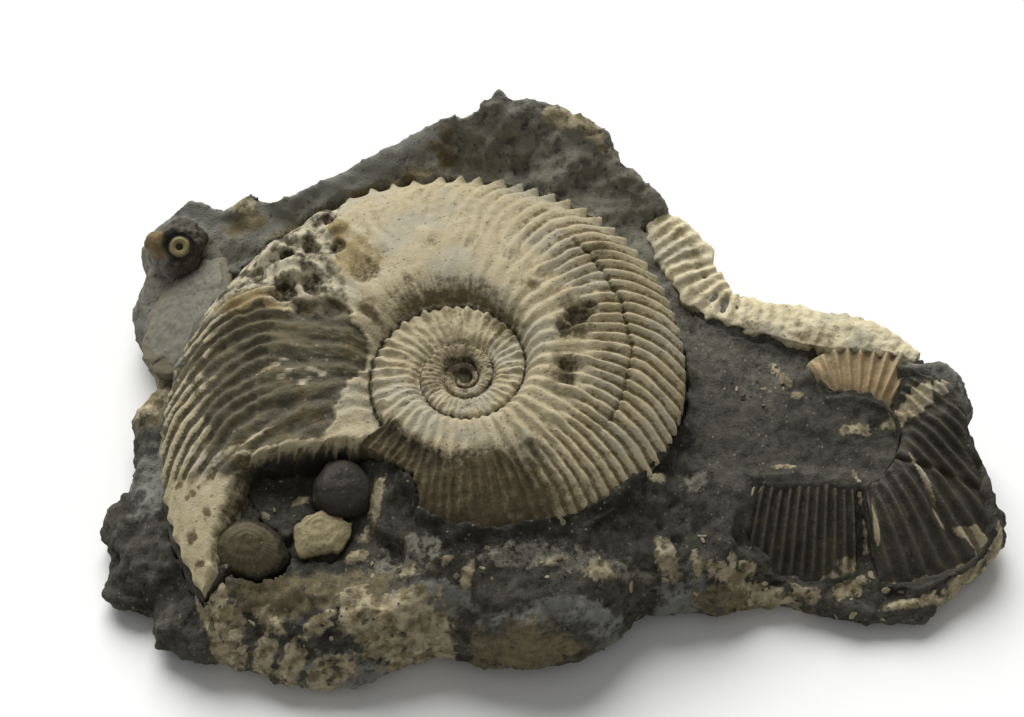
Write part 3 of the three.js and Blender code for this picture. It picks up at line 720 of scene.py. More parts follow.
class WornCoil:
    """The coil's surface, point by point: what it has lost, and how that moves and colours it."""

    def __init__(self, mesh):
        self.points = points_of(mesh)
        self.x, self.y, self.z = self.points.T
        self.share, self.inward, self.crest, self.rib_height = (
            read(mesh, name) for name in ("share", "inward", "crest", "rib_height")
        )
        self.degrees = np.degrees(read(mesh, "phase"))
        self.outermost = self.inward < 0.999
        self.find_lost_shell()
        self.find_scar()
        self.find_dents()
        self.find_cracks()
        self.find_bite()

    def find_lost_shell(self):
        """Where the shell has gone, and in that its smooth corner, the bare mould and the crushed part."""
        points = self.points
        edge_x = np.interp(
            self.y + 0.5 * wobble(points, 2.6), [y for _, y in SHELL_EDGE], [x for x, _ in SHELL_EDGE]
        )
        self.lost = smooth(-0.35, 0.35, edge_x - self.x + 0.7 * wobble(points, 1.6, seed=5)) * self.outermost
        corner_x, corner_y = FRONT_CORNER
        self.corner = smooth(*corner_y, self.y + 1.2 * wobble(points, 4, seed=2)) * smooth(*corner_x, self.x)
        start, end = CRUSHED_FROM
        across = self.y + 1.2 * wobble(points, 3, seed=9)
        self.mould = self.lost * (1 - self.corner) * smooth(end, start, across)
        self.crushed = self.lost * smooth(start, end, across)

    def find_scar(self):
        """How far inside the mouth's old outline each point is, and the line that it left."""
        earlier = smooth(-30, -60, self.degrees) * self.outermost
        self.scar = inside(self.points, MOUTH_SCAR, ragged=0.35)
        width = 0.7 + 1.5 * smooth(-12, -19, self.x) * (self.scar > 0)
        self.scar_line = earlier * bell(self.scar / width) * (0.35 + 0.65 * smooth(-5, -14, self.x))

    def find_dents(self):
        """How far the crushed lumps, pits and holes move each point, and how deep in a hole it is."""
        self.dents, self.holes = np.zeros(len(self.points)), np.zeros(len(self.points))
        for x, y, size, height in LUMPS + PITS:
            distance = np.hypot(self.x - x, self.y - y) * (1 + 0.28 * wobble(self.points, 1.3, seed=x))
            self.dents += height * smooth(1.15, 0.25 if height > 0 else 0.6, distance / size)
            if height < 0:
                self.holes = np.maximum(self.holes, smooth(1.4, 0.5, distance / size) * min(1, -height))

    def find_cracks(self):
        """The seams between the turns, and the crack along the spiral: its stretch, and how far off it is."""
        self.seam = bell((self.inward - np.round(self.inward)) / 0.05) * (self.inward > 0.5)
        start, end = SPIRAL_CRACK["from"], SPIRAL_CRACK["to"]
        self.cracked = smooth(start - 8, start + 4, self.degrees) * smooth(end + 8, end - 4, self.degrees)
        self.off_crack = self.share - SPIRAL_CRACK["share"] - 0.012 * roughness(self.points, 3, seed=6)

    def find_bite(self):
        """The missing part of the mouth, with a steep wall at the back and a slope at its left."""
        self.bite_depth = inside(self.points, BITE)
        self.slope = smooth(-41, -44, self.x)
        self.bitten = smooth(-0.5 - 0.6 * self.slope, 0.9 + 3.0 * self.slope, self.bite_depth)

    def moved_points(self):
        points = self.points
        up = 0.1 * roughness(points, 2.4) + 0.05 * wobble(points, 0.8, seed=4)
        up -= SHELL_THICKNESS * self.lost
        up += self.crushed * (0.4 * np.abs(roughness(points, 2.6, seed=11)) - 0.3)
        up += self.mould * (0.26 * roughness(points, 1.3, seed=23) + 0.35 * wobble(points, 5, seed=29))
        up += smooth(1.0, 1.2, self.inward) * 0.2 * roughness(points, 1.5, seed=37)
        up += (1 - self.lost) * 0.07 * roughness(points, 1.1, seed=41)
        up -= 0.8 * self.corner * self.lost * self.crest * self.rib_height
        up -= 0.55 * self.scar_line
        up += self.dents
        up -= self.seam * np.clip(0.85 - 0.25 * self.inward, 0.25, 0.6)
        step = SPIRAL_CRACK["step"] * smooth(-0.008, 0.012, self.off_crack) * (self.share < 1.01)
        up += self.cracked * (step - 0.5 * bell(self.off_crack / 0.008))

        tilt = placement(**COIL_PLACE).to_3x3() @ Vector((0, 0, 1))
        foot = Vector(COIL_PLACE["at"]) - tilt * COIL["Bed"]
        bed = foot.z - (tilt.x * (self.x - foot.x) + tilt.y * (self.y - foot.y)) / tilt.z
        z = self.z + up * smooth(-6, 0.5, self.z - COIL_PLACE["at"][2] + 4)
        z = z * (1 - self.bitten) + np.minimum(z, bed + 0.8) * self.bitten
        return np.stack([self.x, self.y, z], 1)

    def stain_and_painted_shade(self):
        """Brown stain and painted shade: stain patches, painted shade above the inner turns, bands on the
        slope, and spots.
        """
        points = self.points
        patches = 0.8 * patch_mask(points, SHELL_STAINS, ragged=0.5, size=2.4, soft=0.7)
        along_spiral = np.stack([self.degrees * 0.45, self.inward * 1.5, 0 * self.inward], 1)
        streaks = 0.14 * wobble(along_spiral, 1.0, seed=3) + 0.1 * wobble(points, 1.5, seed=12)
        # Painted shade above the inner turns, on the wall that faces the front.
        shade = smooth(0.5, 0.95, self.inward + streaks) * (self.inward < 1.0)
        shade *= smooth(44, 74, self.degrees + 10 * wobble(points, 5))
        shade *= smooth(146, 124, self.degrees) * 0.75 + 0.25
        bands = self.slope * smooth(0.04, 0.2, self.bitten) * (0.7 + 0.3 * np.cos(self.bite_depth * 5))
        spots = patch_mask(points, CORNER_SPOTS, ragged=0.9, size=0.9, soft=0.5)
        return np.clip(np.max([patches, shade * 0.95, bands, spots], 0), 0, 1)

    def shade_and_stain_between_ribs(self):
        """Painted shade and stain in the ground between ribs, darker where they stand high."""
        gap = smooth(0.62, 0.1, self.crest) * smooth(0.12, 0.45, self.rib_height)
        gap *= 0.35 + 0.65 * smooth(0.45, 0.8, self.share)
        gap *= (1 - 0.55 * (self.inward > 0.5)) * (1 - 0.85 * self.corner * self.lost)
        return np.clip(gap, 0, 1)

    def painted_shade_and_dark_stain(self):
        """The darkest places: painted shade in holes, seams, cracks and the mouth's old line, and dark stain
        on the smudged centre and as specks in the inner turns.
        """
        points = self.points
        smudge = patch_mask(points, SMUDGED_CENTRE, ragged=0.6, size=1.6, seed=2, soft=0.5)
        # Painted glint: the smudge is lifted along a strip in the centre.
        smudge *= 1 - 0.8 * patch_mask(points, PAINTED_GLINT_IN_CENTRE, ragged=0.3, size=1.0)
        specks = smooth(0.34, 0.62, roughness(points, 1.3, seed=51)) * smooth(0.95, 1.1, self.inward)
        seams = self.seam * (0.95 - 0.3 * smooth(1.2, 2, self.inward))
        crack = self.cracked * bell(self.off_crack / 0.01) * 0.7
        dark = np.maximum(self.holes * 0.7, seams) + crack + self.scar_line * 0.9
        return np.clip(dark + smudge * 0.75 + specks * 0.4, 0, 1)

    def shell_on_mould(self):
        """Shell left on the mould: on the tips of the ribs, and as scraps."""
        points = self.points
        tips = smooth(0.8, 0.87, self.share + 0.05 * wobble(points, 2.2, seed=8))
        tips *= smooth(0.42, 0.66, self.crest)
        tips *= smooth(-0.25, 0.05, wobble(points, 2.0, seed=31) + 0.05 + 0.35 * smooth(-4, -10, self.y))
        return np.maximum(tips, patch_mask(points, SHELL_ON_MOULD, ragged=0.5, size=1.1, seed=8))

    def masks(self):
        points = self.points
        yellow = patch_mask(points, YELLOWED_SHELL, ragged=0.4, size=2, seed=4, soft=0.4)
        no_shell = 1 - patch_mask(points, SHELL_BEHIND_MOULD, ragged=0.45, size=1.8)
        mould = self.mould * no_shell
        shell_left = np.clip(self.shell_on_mould() * mould, 0, 1)
        # Darker towards the bottom of the outer whorl: dirt, and painted shade where it faces the front.
        grime_and_painted_shade = smooth(-25, -75, self.degrees + 12 * wobble(points, 4, seed=3)) * self.outermost
        bite = smooth(0.1, 0.4, self.bitten) * (1 - self.slope) + smooth(0.55, 0.9, self.bitten) * self.slope
        return {
            "mould": mould * (1 - shell_left), "crushed": self.crushed * no_shell * (1 - yellow),
            "stain": self.stain_and_painted_shade(), "yellow": yellow, "groove": self.shade_and_stain_between_ribs(), "hollow": self.painted_shade_and_dark_stain(),
            "grime_and_painted_shade": np.clip(grime_and_painted_shade * smooth(-0.5, 0.9, self.scar), 0, 1),
            "old": smooth(1.5, 2.3, self.inward), "bite": np.clip(bite, 0, 1),
        }


def make_main_ammonite(material):
    piece = coil_rule(material).make("main_ammonite_shell")
    mesh = piece.data
    reshape(mesh, fill_foot, fill_holes, face_outward, split_quads)
    mesh.transform(placement(**COIL_PLACE))
    coil = WornCoil(mesh)
    set_points(mesh, coil.moved_points())
    write_shell_masks(mesh, **coil.masks())
    forget(mesh, "phase", "share", "inward", "column", "row", "rib_height")
    settle(piece)
    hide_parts("main_ammonite")


# ---- The fans and the stretch of whorl --------------------------------------------------------


def fan_rule(name, spec, material):
    """A crushed sheet of ribbed whorl over a sector."""
    rows = spec["rows"]
    centre_x, centre_y = spec["centre"]
    rib_x, rib_y = spec["rib centre"]
    rule = Rule(name, {
        "Columns": spec["columns"], "Across": spec["across"], "Centre X": centre_x, "Centre Y": centre_y,
        "Bulge": spec["bulge"], "Ribs a turn": spec["ribs"], "Rib height": spec["rib height"],
        "Rib centre X": rib_x, "Rib centre Y": rib_y, "Back ribs a turn": spec["back ribs"],
    })
    columns, across = rule.size("Columns"), rule.size("Across")
    grid, column, row = rule.grid(columns + 1, across + 1)
    degrees = column / columns * (rows[-1][0] - rows[0][0]) + rows[0][0]
    out = row / across
    near, near_z, far, far_z = (
        degrees.along([(line[0], line[k]) for line in rows], 0, 60) for k in (1, 2, 3, 4)
    )
    angle = degrees * (math.pi / 180)
    reach = near + (far - near) * out
    fade = out.ramp(0, 0.25) * out.ramp(1.02, 0.85)
    x = reach * angle.math("COSINE") + rule.size("Centre X")
    y = reach * angle.math("SINE") + rule.size("Centre Y")
    bearing = (y - rule.size("Rib centre Y")).math("ARCTAN2", x - rule.size("Rib centre X"))
    back = degrees.above(BACK_RIBS_FROM)
    count = bearing * rule.size("Ribs a turn") * (1 - back) + angle * rule.size("Back ribs a turn") * back
    crest = count.math("COSINE") * 0.5 + 0.5
    arch = out * (1 - out) * 4 * rule.size("Bulge")
    z = near_z + (far_z - near_z) * out + arch + (crest ** 1.4 - 0.35) * rule.size("Rib height") * fade
    sheet = rule.store(rule.put(grid, x, y, z), crest=crest, out=out, degrees=degrees)
    rule.finish(sheet, material)
    return rule


def make_fan(node, material, finish):
    spec = FANS[node]
    piece = fan_rule("ribbed fan " + node, spec, material).make(node + "_fan")
    mesh = piece.data
    crest, out, degrees = (read(mesh, name) for name in ("crest", "out", "degrees"))
    points, seed = points_of(mesh), spec["seed"]
    level = points[:, 2].min() - spec["bed"]
    up, masks = finish(points, crest, out, degrees)
    rim = smooth(0.12, 0.0, np.minimum(out, 1 - out))
    ragged = 0.5 * roughness(points, 2.2, seed) * rim
    points[:, 2] += up + 0.1 * roughness(points, 1.5, seed) + 0.4 * wobble(points, 5, seed) + ragged
    set_points(mesh, points)
    write_shell_masks(mesh, **masks)
    forget(mesh, "out", "degrees")
    close_below(mesh, level)
    settle(piece)
    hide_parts(node)


def finish_right_fan(points, crest, out, degrees):
    """The fan's back part keeps its shell. The lobe beside it and the front are bare rock casts."""
    shell_starts = degrees + 4 * wobble(points, 2.4)
    shelly = smooth(53, 57, shell_starts) * smooth(-0.05, 0.06, out)
    lobe = smooth(12, 24, degrees + 5 * wobble(points, 3)) * smooth(57, 53, shell_starts)
    seam = bell((degrees + 20) / 2.4)
    up = -0.5 * lobe * (crest - 0.4) - 0.5 * seam + lobe * 0.5 * roughness(points, 3, seed=1)
    up -= 0.7 * bell((degrees - 55) / 3)
    cream = patch_mask(points, RIGHT_FAN_CREAM, ragged=0.35, size=1.2, seed=3)
    crust = shelly * smooth(0.68, 0.9, out + 0.12 * wobble(points, 1.8, seed=2))
    # Hollow is painted shade in the seam; groove is painted shade and stain between the ribs.
    return up, {
        "mould": (1 - shelly) * (1 - cream), "stain": shelly * (1 - crust) * 0.9,
        "groove": smooth(0.7, 0.1, crest) * (1 - lobe * 0.8) * (1 - crust * 0.8),
        "hollow": seam * 0.7, "old": crust * 0.5,
    }


def finish_low_fan(points, crest, out, degrees):
    """A bare rock cast with a little cream shell on it."""
    cream = patch_mask(points, LOW_FAN_CREAM, ragged=0.4, size=1.2, seed=6)
    # Groove is painted shade and stain between the ribs; hollow is painted shade along the fan's inner edge.
    return 0.0, {"mould": 1 - cream, "groove": 1 - crest, "hollow": smooth(0.05, 0, out) * 0.5}


def edge_rule(material):
    """A stretch of ribbed whorl along the line of its host mesh."""
    rule = Rule("ribbed whorl", EDGE_WHORL)
    sections, around = rule.size("Sections"), rule.size("Around")
    line = rule.add("GeometryNodeMeshToCurve", {"Mesh": rule.start["Geometry"]})
    curved = rule.add("GeometryNodeCurveSplineType", {"Curve": line.outputs[0]}, spline_type="CATMULL_ROM")
    grid, column, row = rule.grid(sections + 1, around + 1)
    along = column / sections
    sample = rule.add("GeometryNodeSampleCurve", {"Curves": curved.outputs[0]}, mode="FACTOR")
    fill(rule.tree, sample.inputs["Factor"], along)
    place = rule.add("ShaderNodeSeparateXYZ", {0: sample.outputs["Position"]})
    ahead = rule.add("ShaderNodeSeparateXYZ", {0: sample.outputs["Tangent"]})
    px, py, pz = (Field(rule.tree, place.outputs[k]) for k in range(3))
    tx, ty = (Field(rule.tree, ahead.outputs[k]) for k in range(2))
    length = (tx * tx + ty * ty).math("SQRT")
    taper = ((along * 0.94 + 0.03) * math.pi).math("SINE") ** 0.5 * 0.5 + 0.5
    angle = row / around * math.pi
    crest = ((along + row / around * 0.008) * rule.size("Ribs") * math.tau).math("COSINE") * 0.5 + 0.5
    rise = angle.math("SINE") ** 0.7
    raised = crest * rule.size("Rib height") * rise * along.along(EDGE_RIB_STRENGTH, 0, 1.2)
    width = along.along(EDGE_HALF_WIDTH, 0, 4)
    side = width * angle.math("COSINE") * (crest * 0.03 + 1)
    x = px + ty / length * side
    y = py - tx / length * side
    z = pz + rise * rule.size("Height") * taper + raised
    sheet = rule.store(rule.put(grid, x, y, z), crest=crest, out=row / around, along=along)
    rule.finish(sheet, material)
    return rule


def make_edge_ammonite(material):
    line = bpy.data.meshes.new("edge_line")
    line.from_pydata(EDGE_LINE, [(i, i + 1) for i in range(len(EDGE_LINE) - 1)], [])
    piece = edge_rule(material).make("edge_ammonite_whorl", line)
    mesh = piece.data
    crest, out, along = (read(mesh, name) for name in ("crest", "out", "along"))
    points = points_of(mesh)
    inner = np.sin(np.pi * out)
    points[:, 2] += (0.45 * roughness(points, 4, seed=2) + 0.24 * roughness(points, 1.6, seed=5)) * inner
    fringe = smooth(0.5, 0.0, inner) * smooth(0, 0.06, along) * smooth(1, 0.92, along)
    drift = np.stack([roughness(points, 2.8, seed=3), roughness(points, 2.8, seed=9)], 1)
    points[:, :2] += fringe[:, None] * drift
    set_points(mesh, points)
    dirt = patch_mask(points, EDGE_DIRT, ragged=0.6, size=1.6, seed=5, soft=0.5)
    dirt = np.maximum(dirt, 0.7 * smooth(0.15, 0.6, roughness(points, 2.2, seed=61)))
    ribbed = smooth(0.75, 0.4, along + 0.1 * wobble(points, 4))
    # The groove mask is painted shade and stain between the ribs.
    write_shell_masks(mesh, stain=dirt * 0.7, groove=(1 - crest) * inner * ribbed * 0.5)
    forget(mesh, "out", "along")
    close_below(mesh, points[:, 2].min() - EDGE_WHORL["Bed"])
    settle(piece)
    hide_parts("edge_ammonite")


# ---- Bivalve shells and worm tube -------------------------------------------------------------


def make_valve(node, material):
    """A domed shell with its beak at +Y, growth lines round the beak and fine lines out from it."""
    spec = VALVES[node]
    half_x, half_y, dome = spec["size"]
    around, rings = VALVE_MESH["around"], VALVE_MESH["rings"]
    growth, growth_depth = spec["growth"]
    radial, radial_depth = spec["radial"]
    corners, angular = spec["corners"]
    side = math.tau / corners
    flat, full = VALVE_DOME
    points, lines = [], []
    for k in range(rings + 1):
        share = 1 - (1 - VALVE_MESH["innermost"]) * k / rings
        for i in range(around):
            angle = math.tau * i / around
            cut = math.cos(side / 2) / max(math.cos(angle % side - side / 2), 0.3) if corners > 2 else 1
            reach = share * (1 + (cut - 1) * angular * smooth(0.1, 0.8, share))
            band = math.cos(math.tau * growth * share) * 0.5 + 0.5
            ray = math.cos(radial * angle) * 0.5 + 0.5
            relief = (growth_depth * band + radial_depth * ray) * min(1.0, share * 3)
            points.append((
                half_x * reach * (1 - VALVE_NARROWING * math.sin(angle)) * math.cos(angle),
                half_y * reach * math.sin(angle) + half_y * VALVE_BEAK * (1 - share),
                dome * (1 - share ** flat) ** full + relief,
            ))
            lines.append((band, ray, share))
    faces = ring_faces(rings + 1, around) + cap_faces(rings * around, around, len(points))
    points.append((0, half_y * VALVE_BEAK, dome))
    lines.append((0.5, 0.5, 0))
    piece = mesh_from(node + "_shell", points, faces, material)
    mesh = piece.data
    band, ray, share = np.array(lines).T
    moved = points_of(mesh)
    moved[:, 2] += 0.22 * roughness(moved, half_x * 0.6, half_x) + 0.05 * roughness(moved, 0.8, seed=3)
    drift = np.stack([roughness(moved, 2.2, seed=4), roughness(moved, 2.2, seed=14)], 1)
    moved[:, :2] += spec.get("ragged", VALVE_RAGGED) * smooth(0.6, 1.0, share)[:, None] * drift
    set_points(mesh, moved)
    write(mesh, crest=band, groove=1 - ray, rim=smooth(0.7, 1.0, share), out=share)
    close_below(mesh, -spec["bed"])
    settle(piece, placement(spec["at"], spec["lean"], spec["turn"]))
    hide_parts(node)


def make_worm_tube(material):
    """A blunt cone with rings round its bore, turned from its profile."""
    around, fine = TUBE_MESH["around"], TUBE_MESH["steps between rings"]
    profile = [TUBE_PROFILE[1]]
    for (ra, za), (rb, zb) in zip(TUBE_PROFILE[2:], TUBE_PROFILE[3:-1]):
        profile += [(ra + (rb - ra) * k / fine, za + (zb - za) * k / fine) for k in range(fine)]
    profile.append(TUBE_PROFILE[-2])
    turns = [math.tau * i / around for i in range(around)]
    points = [(r * math.cos(turn), r * math.sin(turn), z) for r, z in profile for turn in turns]
    faces = ring_faces(len(profile), around)
    faces += [face[::-1] for face in cap_faces(0, around, len(points))]
    faces += cap_faces(len(points) - around, around, len(points) + 1)
    points += [(0, 0, TUBE_PROFILE[0][1]), (0, 0, TUBE_PROFILE[-1][1])]
    piece = mesh_from("worm_tube_cone", points, faces, material)
    mesh = piece.data
    moved = points_of(mesh)
    radius = np.hypot(moved[:, 0], moved[:, 1])
    swell = 0.7 * roughness(moved, 2.4, seed=2) + 0.12 * roughness(moved, 0.9, seed=9)
    swell *= smooth(1.2, 2.6, radius)
    swell += 1.2 * smooth(2.4, 0.4, np.linalg.norm(moved - TUBE_SWELLING, axis=1))
    swell += 0.05 * roughness(moved, 0.7, seed=4)
    outward = moved / np.maximum(np.linalg.norm(moved, axis=1), 0.1)[:, None]
    moved += outward * (swell * smooth(-2.5, -1, moved[:, 2]))[:, None]
    set_points(mesh, moved)
    x, _, z = moved.T
    write(
        mesh,
        lip=smooth(1.7, 1.3, radius) * smooth(2.5, 2.8, z),
        tan=smooth(-1.4, -3.2, x + wobble(moved, 1.6)) * smooth(0.2, 1.2, z),
        bore=smooth(0.6, 0.42, radius) * smooth(0, 0.5, z),
        dark_ring=bell((radius - 1.9) / 0.5) * smooth(1.5, 2, z),
    )
    reshape(mesh, face_outward)
    settle(piece, placement(**TUBE_PLACE))
    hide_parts("worm_tube")


# ---- The rock ---------------------------------------------------------------------------------


def cad_shape(node, grow=0.0):
    """A CAD solid as one closed mesh about the block's own origin, swollen a little if asked."""
    shape = bmesh.new()
    shape.from_mesh(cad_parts[node].data)
    shape.transform(TO_FRAME.inverted())
    bmesh.ops.remove_doubles(shape, verts=shape.verts, dist=1e-4)
    shape.normal_update()
    for vertex in shape.verts:
        vertex.co += vertex.normal * grow
    return shape


def joined(shapes, name):
    mesh = bpy.data.meshes.new(name)
    whole = bmesh.new()
    for shape in shapes:
        part = bpy.data.meshes.new("part")
        shape.to_mesh(part)
        whole.from_mesh(part)
        bpy.data.meshes.remove(part)
    whole.to_mesh(mesh)
    whole.free()
    return mesh


def nearest_distances(tree, points):
    return np.array([tree.find_nearest(point)[3] for point in points.tolist()])


def relief_rule(material):
    """Pushes a surface in and out along its normals as broken rock: lumps, facets, grain and layers."""
    rule = Rule("broken rock", ROCK)
    place = rule.add("GeometryNodeInputPosition").outputs[0]
    normal = rule.add("GeometryNodeInputNormal").outputs[0]

    def rock_noise(size, detail, seed, squash=1.0):
        shifted = rule.vector("ADD", place, (seed, seed * 1.7, seed * 0.3))
        flat = rule.vector("MULTIPLY", shifted, (1, 1, squash))
        made = rule.add("ShaderNodeTexNoise", {"Vector": flat, "Scale": 1 / size, "Detail": detail})
        return Field(rule.tree, made.outputs[0]) - 0.5

    def facets(size, seed):
        warp = rock_noise(size, 2.0, seed + 3) * 1.4
        bent = rule.vector("ADD", rule.vector("ADD", place, (seed, seed, seed)), warp)
        cells = rule.add("ShaderNodeTexVoronoi", {"Vector": bent, "Scale": 1 / size})
        return Field(rule.tree, cells.outputs[0])

    facet_size, facet_height = rule.size("Facet size"), rule.size("Facet height")
    lumps = rock_noise(rule.size("Lump size"), 3.0, 11.0) * 2 * rule.size("Lump height") * 0.6
    broken = (facets(facet_size, 5.0) - 0.45) * facet_height * -1.0
    broken = broken + rock_noise(facet_size, 4.0, 2.0) * 2.2 * facet_height
    grain = rock_noise(rule.size("Grain size"), 3.0, 31.0) * 2 * rule.size("Grain height")
    layers = rock_noise(rule.size("Layer pitch") * 5, 3.0, 17.0, squash=5.0) * 2 * rule.size("Layer height")
    depth = (lumps + broken + grain) * rule.named("rough") + layers * rule.named("layered")
    depth = depth * rule.named("free")
    moved = rule.add(
        "GeometryNodeSetPosition", {"Geometry": rule.start["Geometry"], "Offset": rule.scaled(normal, depth)}
    )
    rule.finish(rule.store(moved.outputs[0], relief=depth), material)
    return rule


def rock_body():
    """All the solids run together as one fine even mesh, its points, and which lie under a fossil."""
    rock = cad_shape("matrix")
    fossils = [cad_shape(node, BED_CLOSE) for node in FOSSILS]
    piece = bpy.data.objects.new("rock_body", joined([rock, *fossils], "rock_body"))
    bpy.context.scene.collection.objects.link(piece)
    remesh = piece.modifiers.new("even mesh", "REMESH")
    remesh.mode = "VOXEL"
    remesh.voxel_size = ROCK_CELL
    soften = piece.modifiers.new("soften", "SMOOTH")
    soften.iterations = ROCK_SOFTENING["iterations"]
    soften.factor = ROCK_SOFTENING["factor"]
    baked(piece)
    reshape(piece.data, keep_largest)

    points = points_of(piece.data)
    cover = bmesh.new()
    cover.from_mesh(joined(fossils, "cover"))
    fossil_tree, rock_tree = BVHTree.FromBMesh(cover), BVHTree.FromBMesh(rock)
    nearer_fossil = nearest_distances(rock_tree, points) - nearest_distances(fossil_tree, points)
    covered = (nearer_fossil > COVERED_FROM) & (points[:, 2] > LOWEST_FOSSIL)
    for shape in (rock, cover, *fossils):
        shape.free()
    return piece, points, covered


def keep_largest(shape):
    """Leaves only the largest of the separate shells of a mesh."""
    shape.verts.ensure_lookup_table()
    unseen = set(range(len(shape.verts)))
    groups = []
    while unseen:
        group, waiting = set(), [unseen.pop()]
        while waiting:
            index = waiting.pop()
            group.add(index)
            for edge in shape.verts[index].link_edges:
                other = edge.other_vert(shape.verts[index]).index
                if other in unseen:
                    unseen.discard(other)
                    waiting.append(other)
        groups.append(group)
    largest = max(groups, key=len)
    strays = [vertex for vertex in shape.verts if vertex.index not in largest]
    bmesh.ops.delete(shape, geom=strays, context="VERTS")


def front_bank(points):
    """The height of the rock that stands against the front of the ammonite, which points are there, and how
    near them painted shade darkens the rock."""
    line_x, line_y, line_z = np.array(FRONT_BANK["line"]).T
    x = points[:, 0]
    ahead = np.interp(x, line_x, line_y) - points[:, 1] + 0.5 * wobble(points, 3)
    top = np.interp(x, line_x, line_z)
    beyond = np.maximum(line_x[0] - x, 0) + np.maximum(x - line_x[-1], 0)
    within = (ahead > 0) & (ahead < FRONT_BANK["width"]) & (beyond < FRONT_BANK["reach beyond"])
    within &= points[:, 2] > FRONT_BANK["lowest"]
    fall = FRONT_BANK["slope"] * np.maximum(ahead - 0.8, 0) + FRONT_BANK["side slope"] * beyond
    # Painted shade on the rock just in front of the ammonite.
    damp = smooth(7, 1.5, ahead) * smooth(-1.5, 0, ahead) * smooth(4, 0, beyond)
    return top - fall + 0.35 * wobble(points, 4, seed=6), within, damp


def reach_between(points, some, others):
    """How far each of some points is from the nearest of the others; 0 for the rest."""
    tree = KDTree(int(others.sum()))
    for k, point in enumerate(points[others].tolist()):
        tree.insert(point, k)
    tree.balance()
    reach = np.zeros(len(points))
    reach[some] = [tree.find(point)[2] for point in points[some].tolist()]
    return reach


def sink_fossils(points, covered):
    """Sinks the rock under the fossils, with a lap onto each, and swells it up to the edges of the fans."""
    x, y = points[:, 0], points[:, 1]
    left_side = (x < -47) & (y > 2)
    fans = (x > 22) & (y < 2)
    small = (x > 20) | left_side
    lap = np.where(small, BED_LAP["small fossils"], BED_LAP["large ammonite"])
    lap = np.where(left_side, BED_LAP["left side"], np.where(fans, FAN_BANK["lap"], lap))
    bed = np.where(small, BED_DEPTH["small fossils"], BED_DEPTH["large ammonite"])

    depth = reach_between(points, covered, ~covered)
    near = reach_between(points, fans & ~covered, fans & covered)
    swell = smooth(np.where(covered, FAN_BANK["inward"], FAN_BANK["outward"]), 0, depth + near)
    depth += 0.3 * wobble(points, 1.6, seed=4) + 0.35 * fans * roughness(points, 2.4, seed=9)
    points[:, 2] -= bed * smooth(np.where(fans, FAN_BANK["level share"], 0), 1, depth / lap)
    points[:, 2] += FAN_BANK["height"] * swell * fans * smooth(3, 5, points[:, 2])


def make_rock(material):
    body, points, covered = rock_body()
    sink_fossils(points, covered)
    hollow = smooth(-0.6, 1.2, inside(points, BITE)) * (points[:, 2] > BITE_ROCK)
    points[:, 2] += (BITE_ROCK + 0.5 * wobble(points, 3, seed=8) - points[:, 2]) * hollow
    bank, banked, damp = front_bank(points)
    points[:, 2] = np.where(banked, np.maximum(points[:, 2], bank), points[:, 2])
    points[points[:, 2] < FOOT_HEIGHT, 2] = 0.0
    covered &= ~banked & (hollow < 0.3)
    set_points(body.data, points)
    calm = patch_mask(points, SMOOTH_ROCK, size=4, soft=0.35)
    wild = patch_mask(points, ROUGH_ROCK, size=4, seed=2, soft=0.35)
    layered = patch_mask(points, LAYERED_ROCK, size=4, seed=7, soft=0.3) * smooth(15, 11, points[:, 2])
    free = smooth(0.1, 2.0, points[:, 2]) * ~covered
    write(body.data, rough=0.75 - 0.45 * calm + 0.35 * wild, layered=layered, free=free, damp=damp)
    piece = relief_rule(material).make("rock", body.data)
    bpy.data.objects.remove(body)

    mesh = piece.data
    points = points_of(mesh)
    cream = patch_mask(points, CREAM_PATCHES, ragged=0.45, size=1.3, seed=1) * ~covered
    cream *= 1 - smooth(20, 24, points[:, 1]) * smooth(12, 9, points[:, 2])
    points[:, 2] = np.maximum(points[:, 2] + 0.3 * cream * smooth(1, 3, points[:, 2]), 0)
    set_points(mesh, points)
    chips = patch_mask(points, CHIP_PATCHES, ragged=0.5, size=3, seed=17, soft=0.4)
    write(
        mesh,
        cream=cream,
        # Paler towards the back: mottling, and painted light on the side that faces the light.
        back=smooth(-10, 26, points[:, 1]),
        brown=patch_mask(points, BROWN_PATCHES, ragged=0.5, size=2.5, seed=5, soft=0.5),
        blue=patch_mask(points, BLUE_PATCHES, ragged=0.5, size=3, seed=9, soft=0.45),
        pale=patch_mask(points, PALE_PATCHES, ragged=0.5, size=3, seed=13, soft=0.5),
        chips=chips * ~(covered | (points[:, 2] < 2)),
    )
    return piece


